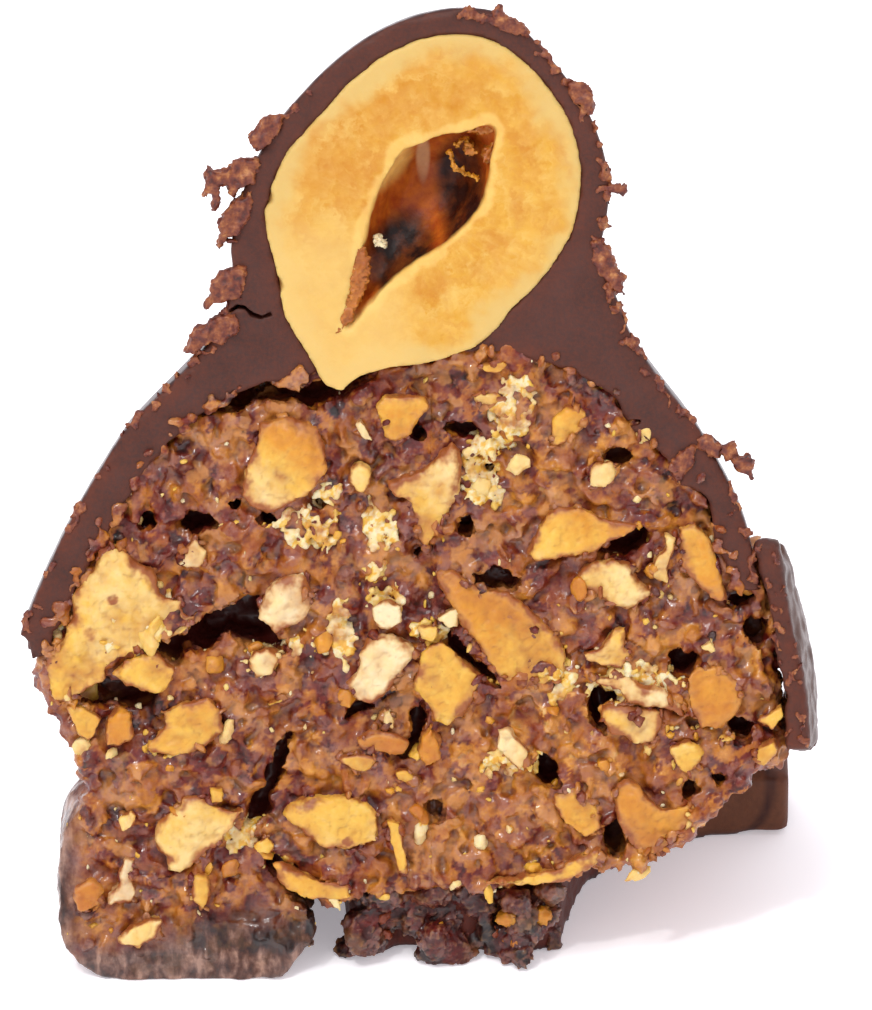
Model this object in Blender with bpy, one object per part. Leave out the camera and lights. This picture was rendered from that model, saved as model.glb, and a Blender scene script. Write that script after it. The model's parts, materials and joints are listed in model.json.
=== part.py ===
"""Half of a hazelnut chocolate praline, cut through with a knife and standing on its base.

Four solids: the dark chocolate coat with its foot, a cracked plate of that coat, the gianduja
filling with its chopped hazelnuts, and the whole hazelnut under the crown.

Metres, +Z up. Z is the dome's axis and z = 0 is the table. The cut face looks towards -Y and
leans back. Places on it are given as u, across to the right, and v, up the face from the table.
"""

import math
import random

import bmesh
import bpy
import numpy as np
from mathutils import Matrix, Vector, noise
from mathutils.bvhtree import BVHTree

MM = 0.001

# The knife's plane meets the table at CUT_FOOT_Y and leans back by CUT_LEAN.
CUT_LEAN = math.radians(15)
CUT_FOOT_Y = -5.5 * MM
FACE_UP = Vector((0, math.sin(CUT_LEAN), math.cos(CUT_LEAN)))
FACE_OUT = Vector((0, -math.cos(CUT_LEAN), math.sin(CUT_LEAN)))

# Clearance between neighbouring solids, and how square the dome's rings are (2 is a circle).
GAP = 0.25 * MM
RING_SQUARENESS = 2.1

# Outside of the chocolate dome: height, reach to the left, reach to the right.
COAT_LEVELS = (
    (0.0, 11.1, 12.4),
    (0.9, 12.1, 13.1),
    (3.0, 12.6, 13.4),
    (6.0, 13.4, 13.4),
    (9.0, 14.0, 13.3),
    (11.0, 14.0, 12.5),
    (14.0, 12.8, 11.4),
    (16.3, 11.6, 10.8),
    (19.1, 9.8, 9.3),
    (21.3, 7.9, 7.8),
    (22.9, 6.9, 7.1),
    (24.4, 6.6, 6.6),
    (25.8, 6.2, 5.9),
    (27.3, 5.5, 4.7),
)

# Outside of the filling, in the same way. It starts on top of the chocolate base.
FILLING_LEVELS = (
    (2.6, 11.2, 12.2),
    (4.0, 11.4, 12.5),
    (6.4, 11.6, 12.7),
    (8.0, 12.2, 12.7),
    (9.6, 13.0, 12.4),
    (11.5, 13.0, 11.7),
    (13.2, 12.2, 11.0),
    (14.9, 11.3, 10.5),
    (16.9, 10.0, 9.7),
    (18.6, 8.8, 8.0),
    (19.8, 7.3, 6.9),
    (20.7, 5.2, 6.0),
    (21.4, 2.8, 5.0),
    (21.9, 0.6, 3.6),
)

# Hazelnut: distance along its axis from the pointed end, reach to the left, reach to the right.
NUT_LEVELS = (
    (0.0, 0.45, 0.40),
    (0.9, 2.0, 1.1),
    (2.0, 3.2, 2.5),
    (3.4, 4.3, 4.0),
    (5.0, 5.2, 4.6),
    (7.0, 5.4, 5.0),
    (8.8, 5.2, 4.85),
    (10.3, 4.7, 4.2),
    (11.6, 3.8, 3.2),
    (12.6, 2.4, 1.9),
    (13.1, 0.8, 0.7),
)
NUT_TIP = (-2.6 * MM, 21.5 * MM)
NUT_TURN = math.radians(24.6)
CROWN_TIP = (-2.3 * MM, 21.4 * MM)
CROWN_WALL = 0.78 * MM

# Hollow in the nut, which narrows into the seam between the two seed halves.
HOLLOW_LEVELS = (
    (0.4, 0.16, 0.14),
    (2.0, 0.75, 0.20),
    (3.2, 1.30, 0.45),
    (4.3, 1.75, 0.85),
    (5.3, 2.00, 1.15),
    (6.3, 2.05, 1.30),
    (7.3, 1.75, 1.10),
    (8.3, 1.05, 0.60),
    (9.2, 0.16, 0.14),
)
HOLLOW_TIP = (-2.8 * MM, 23.2 * MM)
HOLLOW_TURN = math.radians(35.5)
HOLLOW_DEPTH_SHARE = 1.45

# Lump of filling at the lower left, on its own piece of base: x from and to, y from and to.
LUMP_X = (-12.1 * MM, -3.9 * MM)
LUMP_Y = (-7.5 * MM, 0.5 * MM)
LUMP_TOP = 6.4 * MM
LUMP_ROUNDING = 1.6 * MM
BASE_THICKNESS = 2.35 * MM

# Where the coat has broken away on the left: outline of the missing wall, as y and z.
LEFT_BREAK = (
    (-8.0, 2.9), (-8.0, 12.4), (-2.7, 11.4), (-1.2, 11.1), (0.2, 10.3), (1.7, 10.2), (3.0, 8.9),
    (4.3, 8.5), (5.4, 6.9), (6.9, 5.9), (7.8, 4.2), (9.4, 3.2), (7.0, 2.6), (2.0, 3.1), (-2.0, 2.7),
)  # fmt: skip

# Where it has broken away on the right, behind the cracked plate.
RIGHT_BREAK = (
    (-8.0, 2.2), (-8.0, 14.6), (-1.8, 13.7), (0.4, 13.1), (1.6, 11.6), (3.4, 10.9), (4.1, 8.8),
    (4.9, 6.9), (4.6, 4.4), (5.0, 2.2),
)  # fmt: skip

# Where the base has broken away in front: outline of the missing floor, as x and y.
BASE_BREAK = (
    (-4.6, -7.5), (-3.9, -4.9), (-3.1, -3.5), (-1.7, -3.9), (-0.8, -3.0), (0.5, -3.2),
    (1.7, -3.7), (2.5, -2.8), (3.5, -3.5), (4.7, -3.1), (5.1, -1.4), (5.9, 1.3),
    (7.6, 3.0), (9.8, 4.2), (11.4, 4.6), (16.0, 5.2), (16.0, -7.5),
)  # fmt: skip

# Cracked plate of the coat on the right: height and outer radius, its two ends, its span round
# the axis. Both ends run down towards the back by PLATE_SLANT.
PLATE_LEVELS = (
    (5.0, 13.75), (7.5, 13.85), (9.7, 13.75), (11.2, 13.4), (12.8, 13.0), (14.0, 12.7), (15.3, 12.3),
)  # fmt: skip
PLATE_ENDS = (6.4, 14.5)
PLATE_ANGLES = (math.radians(-26.0), math.radians(13.0))
PLATE_SLANT = 0.55
PLATE_THICKNESS = 0.75 * MM

# Broken underside of the filling, in two planes: for each, the u and v of its edge on the cut
# face from left to right, and a point further back that it goes through.
UNDERSIDES = (
    ((-3.2, 2.9), (7.8, 4.3), (2.5, -2.7, 2.6)),
    ((7.2, 3.9), (12.9, 8.2), (8.5, 3.5, 2.6)),
)

# Relief of the torn faces: size of the crags, their height, and the grid that carries them.
CRAG_SIZE = 2.3 * MM
CRAG_HEIGHT = 0.42 * MM
CRAG_CELL = 0.72 * MM

# Holes that the knife has torn in the face: u, v, half width, half height, depth.
HOLES = (
    (-6.9, 12.7, 1.5, 0.9, 2.0),
    (-8.0, 16.6, 1.0, 0.5, 1.3),
    (-11.0, 10.3, 1.3, 0.5, 1.6),
    (-4.5, 8.2, 0.45, 1.1, 1.2),
    (-5.0, 5.7, 0.5, 0.9, 1.3),
    (-4.1, 20.9, 2.0, 0.4, 1.3),
    (1.6, 16.1, 0.6, 0.9, 1.3),
    (3.7, 14.3, 1.1, 0.5, 1.4),
    (7.4, 15.6, 1.0, 0.4, 1.3),
    (7.4, 10.0, 0.7, 0.9, 1.4),
    (9.2, 11.5, 0.6, 0.8, 1.2),
    (11.6, 12.9, 0.7, 1.2, 1.6),
    (8.0, 18.4, 0.9, 0.6, 1.2),
    (4.3, 8.1, 0.5, 0.9, 1.2),
    (-4.6, 16.8, 0.9, 0.4, 1.2),
)

# Chopped hazelnut on the cut face: outline, u, v, length, width, turn in degrees, height proud.
CHOPPED = (
    ("block", -4.7, 18.5, 3.3, 2.2, 38, 0.45),
    ("block", -10.5, 14.7, 3.0, 1.9, -35, 0.35),
    ("block", -9.7, 13.2, 3.3, 1.6, 10, 0.40),
    ("block", -11.7, 11.5, 2.4, 2.1, -30, 0.35),
    ("block", -9.6, 11.3, 2.1, 1.2, 5, 0.45),
    ("block", -4.6, 13.7, 1.9, 1.6, 35, 0.50),
    ("wedge", -7.8, 15.5, 1.1, 0.9, 20, 0.35),
    ("block", -1.5, 11.6, 2.7, 1.7, 62, 0.45),
    ("block", -0.5, 20.5, 2.1, 1.6, 35, 0.35),
    ("wedge", 0.6, 17.8, 3.9, 2.1, 62, 0.60),
    ("leaf", 5.5, 16.3, 3.9, 1.9, 10, 0.55),
    ("block", 6.8, 14.4, 2.8, 1.6, -12, 0.50),
    ("block", 8.4, 15.4, 1.9, 0.9, 72, 0.40),
    ("block", 9.6, 15.0, 2.8, 1.6, -55, 0.40),
    ("block", 2.9, 12.8, 5.3, 2.5, -41, 0.60),
    ("block", 0.9, 10.8, 2.5, 2.5, 20, 0.50),
    ("block", 5.2, 20.0, 1.8, 1.3, 35, 0.35),
    ("block", 7.4, 9.5, 2.1, 1.3, -10, 0.50),
    ("block", 10.2, 10.5, 2.7, 1.9, 80, 0.40),
    ("block", 9.5, 8.2, 1.8, 1.0, -20, 0.35),
    ("block", 3.2, 8.6, 1.8, 1.0, -60, 0.35),
    ("block", 5.5, 6.4, 2.1, 1.7, 30, 0.45),
    ("wedge", 8.0, 6.7, 3.1, 2.0, 75, 0.45),
    ("sliver", 4.3, 4.6, 4.2, 0.9, 18, 0.50),
    ("sliver", -0.9, 4.9, 2.3, 0.7, -74, 0.40),
    ("leaf", -8.0, 9.4, 2.9, 2.3, 18, 0.55),
    ("leaf", -7.6, 5.6, 3.4, 2.0, 28, 0.40),
    ("block", -3.1, 5.9, 3.4, 1.8, -5, 0.45),
    ("sliver", -3.6, 3.8, 3.4, 1.2, -27, 0.50),
    ("block", -10.3, 3.8, 1.7, 1.0, 80, 0.35),
)
CHOPPED_SUNK = 0.9 * MM

# Chopped hazelnut in the side that the broken coat leaves bare: x, y, z, length, width.
SIDE_CHOPPED = (
    (-12.9, -0.6, 9.4, 2.7, 1.8),
    (-12.0, 1.6, 7.0, 2.2, 1.5),
    (-11.4, 4.2, 5.9, 2.4, 1.3),
    (-11.7, -1.2, 5.3, 1.8, 1.2),
)

# Shavings that the knife dragged out of the coat's edge: u and v of the place outside the edge
# that they point at, length, thickness, turn in degrees. They spread from SHAVING_CENTRE.
SHAVING_CENTRE = (0.5 * MM, 26.0 * MM)
SHAVINGS = (
    (-6.95, 28.7, 1.9, 0.85, 24),
    (-6.5, 30.4, 1.4, 0.70, 40),
    (-6.9, 27.2, 1.2, 0.65, 80),
    (-7.2, 25.1, 1.7, 0.75, 50),
    (-7.8, 23.4, 1.6, 0.75, 40),
    (3.2, 34.4, 1.5, 0.75, -25),
    (4.9, 33.3, 1.6, 0.80, -45),
    (6.2, 31.6, 1.7, 0.75, -65),
    (6.65, 29.4, 1.6, 0.65, -85),
    (6.9, 26.4, 1.7, 0.60, -95),
    (7.6, 24.0, 1.0, 0.50, -70),
    (10.8, 19.0, 1.9, 0.70, -38),
)

# Finishes: colour, roughness.
DARK_CHOCOLATE = ((0.075, 0.030, 0.020), 0.32)
GIANDUJA = ((0.245, 0.105, 0.048), 0.55)
ROASTED_NUT = ((0.780, 0.500, 0.130), 0.50)


def clear_scene():
    for obj in list(bpy.data.objects):
        bpy.data.objects.remove(obj)


def finish(name, colour, roughness):
    """Plain food material: nothing in this object is metallic."""
    material = bpy.data.materials.new(name)
    material.use_nodes = True
    shader = material.node_tree.nodes["Principled BSDF"]
    shader.inputs["Base Color"].default_value = (*colour, 1)
    shader.inputs["Roughness"].default_value = roughness
    shader.inputs["Metallic"].default_value = 0
    return material


def on_face(u, v, depth=0.0):
    """Point on the knife's plane, or depth behind it."""
    return Vector((u, CUT_FOOT_Y, 0)) + v * FACE_UP - depth * FACE_OUT


def on_axis(height, across, depth):
    """Point of a body that stands on the dome's axis."""
    return Vector((across, depth, height))


def in_face(tip, turn):
    """The same for a body whose axis lies in the knife's plane, from tip, leaning right by turn."""

    def place(along, across, depth):
        u = tip[0] + along * math.sin(turn) + across * math.cos(turn)
        v = tip[1] + along * math.cos(turn) - across * math.sin(turn)
        return on_face(u, v, depth)

    return place


def flowing(rows, steps):
    """Rows of numbers with a smooth curve through them, steps to each interval."""
    padded = [rows[0], *rows, rows[-1]]
    curve = []
    for before, start, end, after in zip(padded, padded[1:], padded[2:], padded[3:]):
        for step in range(steps):
            t = step / steps
            curve.append(tuple(
                0.5 * (2 * b + (c - a) * t + (2 * a - 5 * b + 4 * c - d) * t * t
                       + (3 * b - 3 * c + d - a) * t ** 3)
                for a, b, c, d in zip(before, start, end, after)
            ))  # fmt: skip
    return [*curve, rows[-1]]


def rounded(angle, squareness):
    """Point on a unit circle, or on a squarer ring."""
    c, s = math.cos(angle), math.sin(angle)
    power = 2 / squareness
    return math.copysign(abs(c) ** power, c), math.copysign(abs(s) ** power, s)


def swell(bm, grow):
    """Moves a closed skin outwards by grow."""
    bmesh.ops.recalc_face_normals(bm, faces=bm.faces)
    bm.normal_update()
    for vert in bm.verts:
        vert.co += vert.normal * grow


def solid_from(bm, name, material=None):
    """Object from a closed skin, in triangles so that every face is flat."""
    bmesh.ops.recalc_face_normals(bm, faces=bm.faces)
    bmesh.ops.triangulate(bm, faces=bm.faces)
    mesh = bpy.data.meshes.new(name)
    bm.to_mesh(mesh)
    bm.free()
    obj = bpy.data.objects.new(name, mesh)
    bpy.context.scene.collection.objects.link(obj)
    if material:
        mesh.materials.append(material)
    return obj


def bridge_rings(bm, rings):
    """Skin over rings of equal length, with both ends capped."""
    for lower, upper in zip(rings, rings[1:]):
        for i in range(len(lower)):
            j = (i + 1) % len(lower)
            bm.faces.new((lower[i], lower[j], upper[j], upper[i]))
    bm.faces.new(rings[0][::-1])
    bm.faces.new(rings[-1])


def ring_body(name, levels, place, sides, steps, grow=0.0, squareness=2.0, depth_share=1.0,
              dents=0.0):  # fmt: skip
    """Closed body of smooth rings. Levels are in millimetres, grow and dents in metres."""
    bm = bmesh.new()
    rings = []
    for height, left, right in flowing(levels, steps):
        centre, half = (right - left) / 2 * MM, (left + right) / 2 * MM
        ring = []
        for side in range(sides):
            x, y = rounded(2 * math.pi * (side + 0.5) / sides, squareness)
            point = place(height * MM, centre + half * x, half * y * depth_share)
            if dents:
                dent = dents * abs(noise.fractal(point / CRAG_SIZE, 1.0, 2.0, 2))
                axis = place(height * MM, centre, 0)
                point += (axis - point).normalized() * dent
            ring.append(bm.verts.new(point))
        rings.append(ring)
    bridge_rings(bm, rings)
    swell(bm, grow)
    return solid_from(bm, name)


def close_grids(bm, front, back, columns, rows):
    """Closed skin over two equal grids of corners and the border between them."""

    def at(i, j):
        return j * (columns + 1) + i

    for j in range(rows):
        for i in range(columns):
            cell = (at(i, j), at(i + 1, j), at(i + 1, j + 1), at(i, j + 1))
            bm.faces.new([front[k] for k in cell])
            bm.faces.new([back[k] for k in reversed(cell)])
    border = [at(i, 0) for i in range(columns)] + [at(columns, j) for j in range(rows)]
    border += [at(i, rows) for i in range(columns, 0, -1)] + [at(0, j) for j in range(rows, 0, -1)]
    for k, after in zip(border, border[1:] + border[:1]):
        bm.faces.new((front[after], front[k], back[k], back[after]))


def prism(name, outline, place, low, high):
    """Outline in millimetres, drawn out between two depths in metres."""
    bm = bmesh.new()
    rings = [[bm.verts.new(place(a * MM, b * MM, end)) for a, b in outline] for end in (low, high)]
    bridge_rings(bm, rings)
    return solid_from(bm, name)


def torn_block(name, corner, along, up, out, width, height, relief, thickness):
    """Block of waste with one rough side. Taking it away leaves a torn face."""
    bm = bmesh.new()
    columns, rows = round(width / CRAG_CELL), round(height / CRAG_CELL)
    rough, flat = [], []
    for j in range(rows + 1):
        for i in range(columns + 1):
            across, upward = width * i / columns, height * j / rows
            foot = corner + along * across + up * upward
            rough.append(bm.verts.new(foot + out * relief(foot)))
            flat.append(bm.verts.new(foot + out * thickness))

    close_grids(bm, rough, flat, columns, rows)
    return solid_from(bm, name)


def crags(point):
    """Height of the torn relief above its plane."""
    return CRAG_HEIGHT * noise.fractal(point / CRAG_SIZE, 0.9, 2.1, 3)


def face_relief(point):
    """Relief of the cut face: crags, with the torn holes sunk into them."""
    u = point.x / MM
    v = (point - on_face(0, 0)).dot(FACE_UP) / MM
    height = crags(point)
    for hole_u, hole_v, half_width, half_height, depth in HOLES:
        away = math.hypot((u - hole_u) / half_width, (v - hole_v) / half_height)
        if away < 1.6:
            height -= depth * MM * (0.5 + 0.5 * math.cos(math.pi * away / 1.6))
    return height


def torn_underside(name, left, right, back):
    """Waste under the plane through an edge on the cut face and a point behind it."""
    left, right = (on_face(u * MM, v * MM) for u, v in (left, right))
    along = (right - left).normalized()
    inwards = Vector(back) * MM - left
    inwards = (inwards - along * inwards.dot(along)).normalized()
    return torn_block(name, left - inwards * 4 * MM, along, inwards, inwards.cross(along),
                      (right - left).length * 1.4, 14 * MM, crags, 12 * MM)  # fmt: skip


def chunk_outline(kind, draw):
    """Corners of a chopped piece, on a unit square, before it is stretched to its size."""
    if kind == "wedge":
        corners = ((-1.0, 0.0), (-0.3, 0.75), (0.75, 1.0), (1.0, 0.35), (0.35, -0.7))
    elif kind == "leaf":
        arc = [math.radians(a) for a in range(-180, 1, 36)]
        corners = [(math.cos(a), 1.6 * math.sin(a) + 0.7) for a in arc]
    elif kind == "sliver":
        arc = [math.radians(a) for a in range(-150, -29, 40)]
        outer = [(1.15 * math.cos(a), 2.6 * math.sin(a) + 2.0) for a in arc]
        inner = [(0.85 * math.cos(a), 1.4 * math.sin(a) + 1.6) for a in reversed(arc)]
        corners = outer + inner
    else:
        turns = [2 * math.pi * (k + 0.5) / 7 for k in range(7)]
        corners = [rounded(a, 3.0) for a in turns]
    return [(x + draw.uniform(-0.08, 0.08), y + draw.uniform(-0.08, 0.08)) for x, y in corners]


def chunk(kind, centre, along, up, out, length, width, proud, number):
    """Chopped piece with a crown that stands proud and a root that sinks in."""
    draw = random.Random(number)
    corners = chunk_outline(kind, draw)
    bm = bmesh.new()
    rings = []
    for share, height in ((0.80, -CHOPPED_SUNK), (1.0, 0.0), (0.72, proud)):
        slope = Vector((draw.uniform(-0.12, 0.12), draw.uniform(-0.12, 0.12)))
        ring = []
        for x, y in corners:
            across, upward = x * share * length / 2, y * share * width / 2
            lift = height + slope.x * across + slope.y * upward
            ring.append(bm.verts.new(centre + along * across + up * upward + out * lift))
        rings.append(ring)
    bridge_rings(bm, rings)
    return solid_from(bm, f"chunk_{number:02d}")


def chopped_in_face():
    pieces = []
    for number, (kind, u, v, length, width, turn, proud) in enumerate(CHOPPED):
        angle = math.radians(turn)
        along = Vector((math.cos(angle), 0, 0)) + FACE_UP * math.sin(angle)
        up = FACE_UP * math.cos(angle) - Vector((math.sin(angle), 0, 0))
        centre = on_face(u * MM, v * MM)
        pieces.append(chunk(kind, centre, along, up, FACE_OUT, length * MM, width * MM,
                            proud * MM, number))  # fmt: skip
    return pieces


def chopped_in_side():
    pieces = []
    for number, (x, y, z, length, width) in enumerate(SIDE_CHOPPED):
        out = Vector((x, y, 0)).normalized()
        along = Vector((-out.y, out.x, 0))
        centre = Vector((x, y, z)) * MM
        pieces.append(chunk("block", centre, along, Vector((0, 0, 1)), out, length * MM,
                            width * MM, 0.5 * MM, 200 + number))  # fmt: skip
    return pieces


def shavings(outside):
    """Small rough crumbs along the coat's cut edge, where a line from the centre leaves it."""
    vertices = [vert.co for vert in outside.data.vertices]
    skin = BVHTree.FromPolygons(vertices, [face.vertices for face in outside.data.polygons])
    centre = on_face(*SHAVING_CENTRE, 0.35 * MM)
    made = []
    for number, (u, v, length, thickness, turn) in enumerate(SHAVINGS):
        draw = random.Random(100 + number)
        outwards = (on_face(u * MM, v * MM, 0.35 * MM) - centre).normalized()
        edge = skin.ray_cast(centre, outwards)[0]
        bm = bmesh.new()
        bmesh.ops.create_icosphere(bm, subdivisions=1, radius=0.5)
        turned = Matrix.Rotation(math.radians(turn), 3, "Z")
        for vert in bm.verts:
            bump = draw.uniform(0.75, 1.2)
            size = Vector((length * vert.co.x, thickness * vert.co.y, thickness * vert.co.z))
            offset = turned @ (size * bump * MM)
            vert.co = edge + Vector((offset.x, 0, 0)) + offset.y * FACE_UP - offset.z * FACE_OUT
        made.append(solid_from(bm, f"shaving_{number:02d}"))
    return made


def lump_body(name, low, high, grow=0.0):
    """Rounded block of the lump, between two heights."""
    (left, right), (front, back) = LUMP_X, LUMP_Y
    centre = Vector(((left + right) / 2, (front + back) / 2))
    half = Vector(((right - left) / 2, (back - front) / 2))
    rounding = min(LUMP_ROUNDING, (high - low) / 2)
    profile = ((low, 0.5), (low + 0.3 * rounding, 0.2), (low + rounding, 0.0),
               (high - rounding, 0.0), (high - 0.3 * rounding, 0.3), (high, 0.8))  # fmt: skip
    bm = bmesh.new()
    rings = []
    for height, pull in profile:
        ring = []
        for side in range(28):
            x, y = rounded(2 * math.pi * (side + 0.5) / 28, 4.5)
            reach = half - Vector((pull, pull)) * rounding
            ring.append(bm.verts.new((centre.x + reach.x * x, centre.y + reach.y * y, height)))
        rings.append(ring)
    bridge_rings(bm, rings)
    swell(bm, grow)
    return solid_from(bm, name)


def settle(obj):
    """Applies the modifiers of obj to its mesh."""
    graph = bpy.context.evaluated_depsgraph_get()
    mesh = bpy.data.meshes.new_from_object(obj.evaluated_get(graph))
    obj.modifiers.clear()
    obj.data = mesh
    return obj


def cut_away(obj, *waste, operation="DIFFERENCE"):
    """Takes each piece of waste out of obj, or what lies outside it."""
    for piece in waste:
        boolean = obj.modifiers.new(piece.name, "BOOLEAN")
        boolean.operation = operation
        boolean.object = piece
        settle(obj)
        bpy.data.objects.remove(piece)
    return obj


def fuse(obj, pieces):
    """Joins the pieces to obj in one union."""
    group = bpy.data.collections.new(obj.name + "_pieces")
    bpy.context.scene.collection.children.link(group)
    for piece in pieces:
        bpy.context.scene.collection.objects.unlink(piece)
        group.objects.link(piece)
    boolean = obj.modifiers.new("pieces", "BOOLEAN")
    boolean.operation = "UNION"
    boolean.operand_type = "COLLECTION"
    boolean.collection = group
    settle(obj)
    for piece in pieces:
        bpy.data.objects.remove(piece)
    bpy.data.collections.remove(group)
    return obj


def knife():
    """Everything in front of the cut face."""
    outline = ((-20, -8), (20, -8), (20, 45), (-20, 45))
    return prism("knife", outline, on_face, 0, -20 * MM)


def filling_body(name, grow=0.0, dents=0.0):
    """Filling before it is cut: the dome's inside, with the shifted lump."""
    body = ring_body(name, FILLING_LEVELS, on_axis, 44, 1, grow, RING_SQUARENESS, dents=dents)
    lump = lump_body(name + "_lump", BASE_THICKNESS + GAP, LUMP_TOP, grow)
    return fuse(body, [lump])


def nut_body(name, grow=0.0, tip=NUT_TIP):
    return ring_body(name, NUT_LEVELS, in_face(tip, NUT_TURN), 32, 2, grow)


def side_gap(name, outline, start, end):
    """Waste with its outline in y and z, between two places in x."""
    return prism(name, outline, lambda y, z, x: Vector((x, y, z)), start * MM, end * MM)


def make_coat(material):
    coat = ring_body("chocolate_coat", COAT_LEVELS, on_axis, 52, 2, squareness=RING_SQUARENESS)
    fuse(coat, [nut_body("crown", CROWN_WALL, CROWN_TIP), lump_body("lump_base", 0, BASE_THICKNESS)])
    dragged = shavings(coat)
    cut_away(
        coat,
        filling_body("filling_space", GAP),
        knife(),
        side_gap("left_gap", LEFT_BREAK, -20, -8),
        side_gap("right_gap", RIGHT_BREAK, 9, 20),
        prism("front_gap", BASE_BREAK, lambda x, y, z: Vector((x, y, z)), -1 * MM,
              BASE_THICKNESS + GAP),
    )  # fmt: skip
    fuse(coat, dragged)
    cut_away(coat, nut_body("nut_space", GAP))
    coat.data.materials.append(material)
    return coat


def make_plate(material):
    """Curved plate with ragged edges, pushed out from the dome."""
    bm = bmesh.new()
    heights, radii = zip(*PLATE_LEVELS)
    columns, rows = 9, 8
    grids = []
    for inset in (0.0, PLATE_THICKNESS / MM):
        grid = []
        for j, level in enumerate(np.linspace(*PLATE_ENDS, rows + 1)):
            for i, angle in enumerate(np.linspace(*PLATE_ANGLES, columns + 1)):
                ragged = 0.45 * noise.noise(Vector((i * 0.9, j * 0.9, 4.2)))
                edge = i in (0, columns) or j in (0, rows)
                height = level - PLATE_SLANT * heights[-1] * math.sin(angle) * 0.9
                reach = np.interp(height, heights, radii) - inset
                point = Vector((reach * math.cos(angle), reach * math.sin(angle), height))
                grid.append(bm.verts.new((point + Vector((0, 1, 1)) * ragged * edge) * MM))
        grids.append(grid)
    close_grids(bm, *grids, columns, rows)
    plate = solid_from(bm, "coat_plate", material)
    return cut_away(plate, knife())


def make_filling(material):
    filling = filling_body("filling", dents=0.35 * MM)
    face_corner = on_face(-16 * MM, -2 * MM)
    across = Vector((1, 0, 0))
    torn_front = torn_block("torn_front", face_corner, across, FACE_UP, FACE_OUT,
                            32 * MM, 28 * MM, face_relief, 20 * MM)  # fmt: skip
    undersides = [torn_underside(f"torn_under_{i}", *side) for i, side in enumerate(UNDERSIDES)]
    cut_away(filling, nut_body("nut_space", GAP), torn_front, *undersides)
    fuse(filling, chopped_in_face())
    cut_away(filling, filling_body("limit", GAP / 2), operation="INTERSECT")
    fuse(filling, chopped_in_side())
    filling.data.materials.append(material)
    return filling


def make_nut(material):
    nut = nut_body("hazelnut")
    hollow = ring_body("hollow", HOLLOW_LEVELS, in_face(HOLLOW_TIP, HOLLOW_TURN), 20, 2,
                       depth_share=HOLLOW_DEPTH_SHARE)  # fmt: skip
    cut_away(nut, hollow, knife())
    nut.data.materials.append(material)
    return nut


def main():
    clear_scene()
    chocolate = finish("dark_chocolate", *DARK_CHOCOLATE)
    gianduja = finish("gianduja", *GIANDUJA)
    kernel = finish("roasted_nut", *ROASTED_NUT)
    solids = (
        make_coat(chocolate),
        make_plate(chocolate),
        make_filling(gianduja),
        make_nut(kernel),
    )
    for solid in solids:
        solid.data.shade_smooth()
        solid.data.set_sharp_from_angle(angle=math.radians(35))


main()
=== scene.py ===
import math
import random

import bpy
from mathutils import Matrix, Vector, noise
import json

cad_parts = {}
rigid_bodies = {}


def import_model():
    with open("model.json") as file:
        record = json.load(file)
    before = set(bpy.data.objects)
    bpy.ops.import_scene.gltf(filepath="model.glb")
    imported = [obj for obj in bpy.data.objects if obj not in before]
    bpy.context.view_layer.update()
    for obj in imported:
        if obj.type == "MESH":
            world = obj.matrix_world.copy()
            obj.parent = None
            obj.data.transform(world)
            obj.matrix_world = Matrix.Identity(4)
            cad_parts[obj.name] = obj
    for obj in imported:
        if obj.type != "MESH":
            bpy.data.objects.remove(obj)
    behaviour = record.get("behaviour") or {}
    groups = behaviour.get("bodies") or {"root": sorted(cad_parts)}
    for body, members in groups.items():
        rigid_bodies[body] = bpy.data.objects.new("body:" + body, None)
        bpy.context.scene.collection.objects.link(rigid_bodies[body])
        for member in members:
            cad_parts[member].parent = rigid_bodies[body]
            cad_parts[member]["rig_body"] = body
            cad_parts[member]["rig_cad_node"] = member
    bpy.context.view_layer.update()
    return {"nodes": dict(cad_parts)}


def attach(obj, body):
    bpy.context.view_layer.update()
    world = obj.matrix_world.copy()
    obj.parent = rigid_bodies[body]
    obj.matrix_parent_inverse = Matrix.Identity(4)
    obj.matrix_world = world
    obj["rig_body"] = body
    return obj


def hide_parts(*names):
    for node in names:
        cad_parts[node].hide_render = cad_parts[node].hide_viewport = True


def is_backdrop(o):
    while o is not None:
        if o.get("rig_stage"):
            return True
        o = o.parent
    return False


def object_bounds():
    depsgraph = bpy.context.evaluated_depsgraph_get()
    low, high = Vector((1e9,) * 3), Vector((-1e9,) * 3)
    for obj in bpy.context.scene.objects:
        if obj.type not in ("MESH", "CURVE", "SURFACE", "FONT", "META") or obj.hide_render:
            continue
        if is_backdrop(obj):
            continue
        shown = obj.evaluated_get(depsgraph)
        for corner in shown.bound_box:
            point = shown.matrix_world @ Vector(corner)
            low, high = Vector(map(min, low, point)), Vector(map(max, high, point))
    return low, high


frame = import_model()
bpy.context.scene.view_settings.view_transform = "Standard"

perMetre = 1000  # every piece is modelled in millimetres and made metres when it is finished
knife = {"lean": 15.0, "foot": -5.5}  # degrees that the cut face leans back, and y where it meets the table

lean = math.radians(knife["lean"])
faceUp = Vector((0, math.sin(lean), math.cos(lean)))
faceOut = Vector((0, -math.cos(lean), math.sin(lean)))
faceFoot = Vector((0, knife["foot"], 0))
faceMatrix = Matrix.Translation(faceFoot) @ Matrix.Rotation(math.pi / 2 - lean, 4, "X")


def onFace(u, v, depth=0.0):
    return faceFoot + Vector((u, 0, 0)) + v * faceUp - depth * faceOut


def behindFace(point):
    return -(point - faceFoot).dot(faceOut)


def flatPlace(point):
    # u and v, across the cut face and up it
    flat = point - faceFoot
    return flat.x, flat.dot(faceUp)


def inFace(tip, turn):
    # a body built up +Z stands in the knife's plane with its foot at tip, leaning right by turn
    return (Matrix.Translation(onFace(*tip)) @ Matrix.Rotation(-lean, 4, "X")
            @ Matrix.Rotation(math.radians(turn), 4, "Y"))


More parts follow.
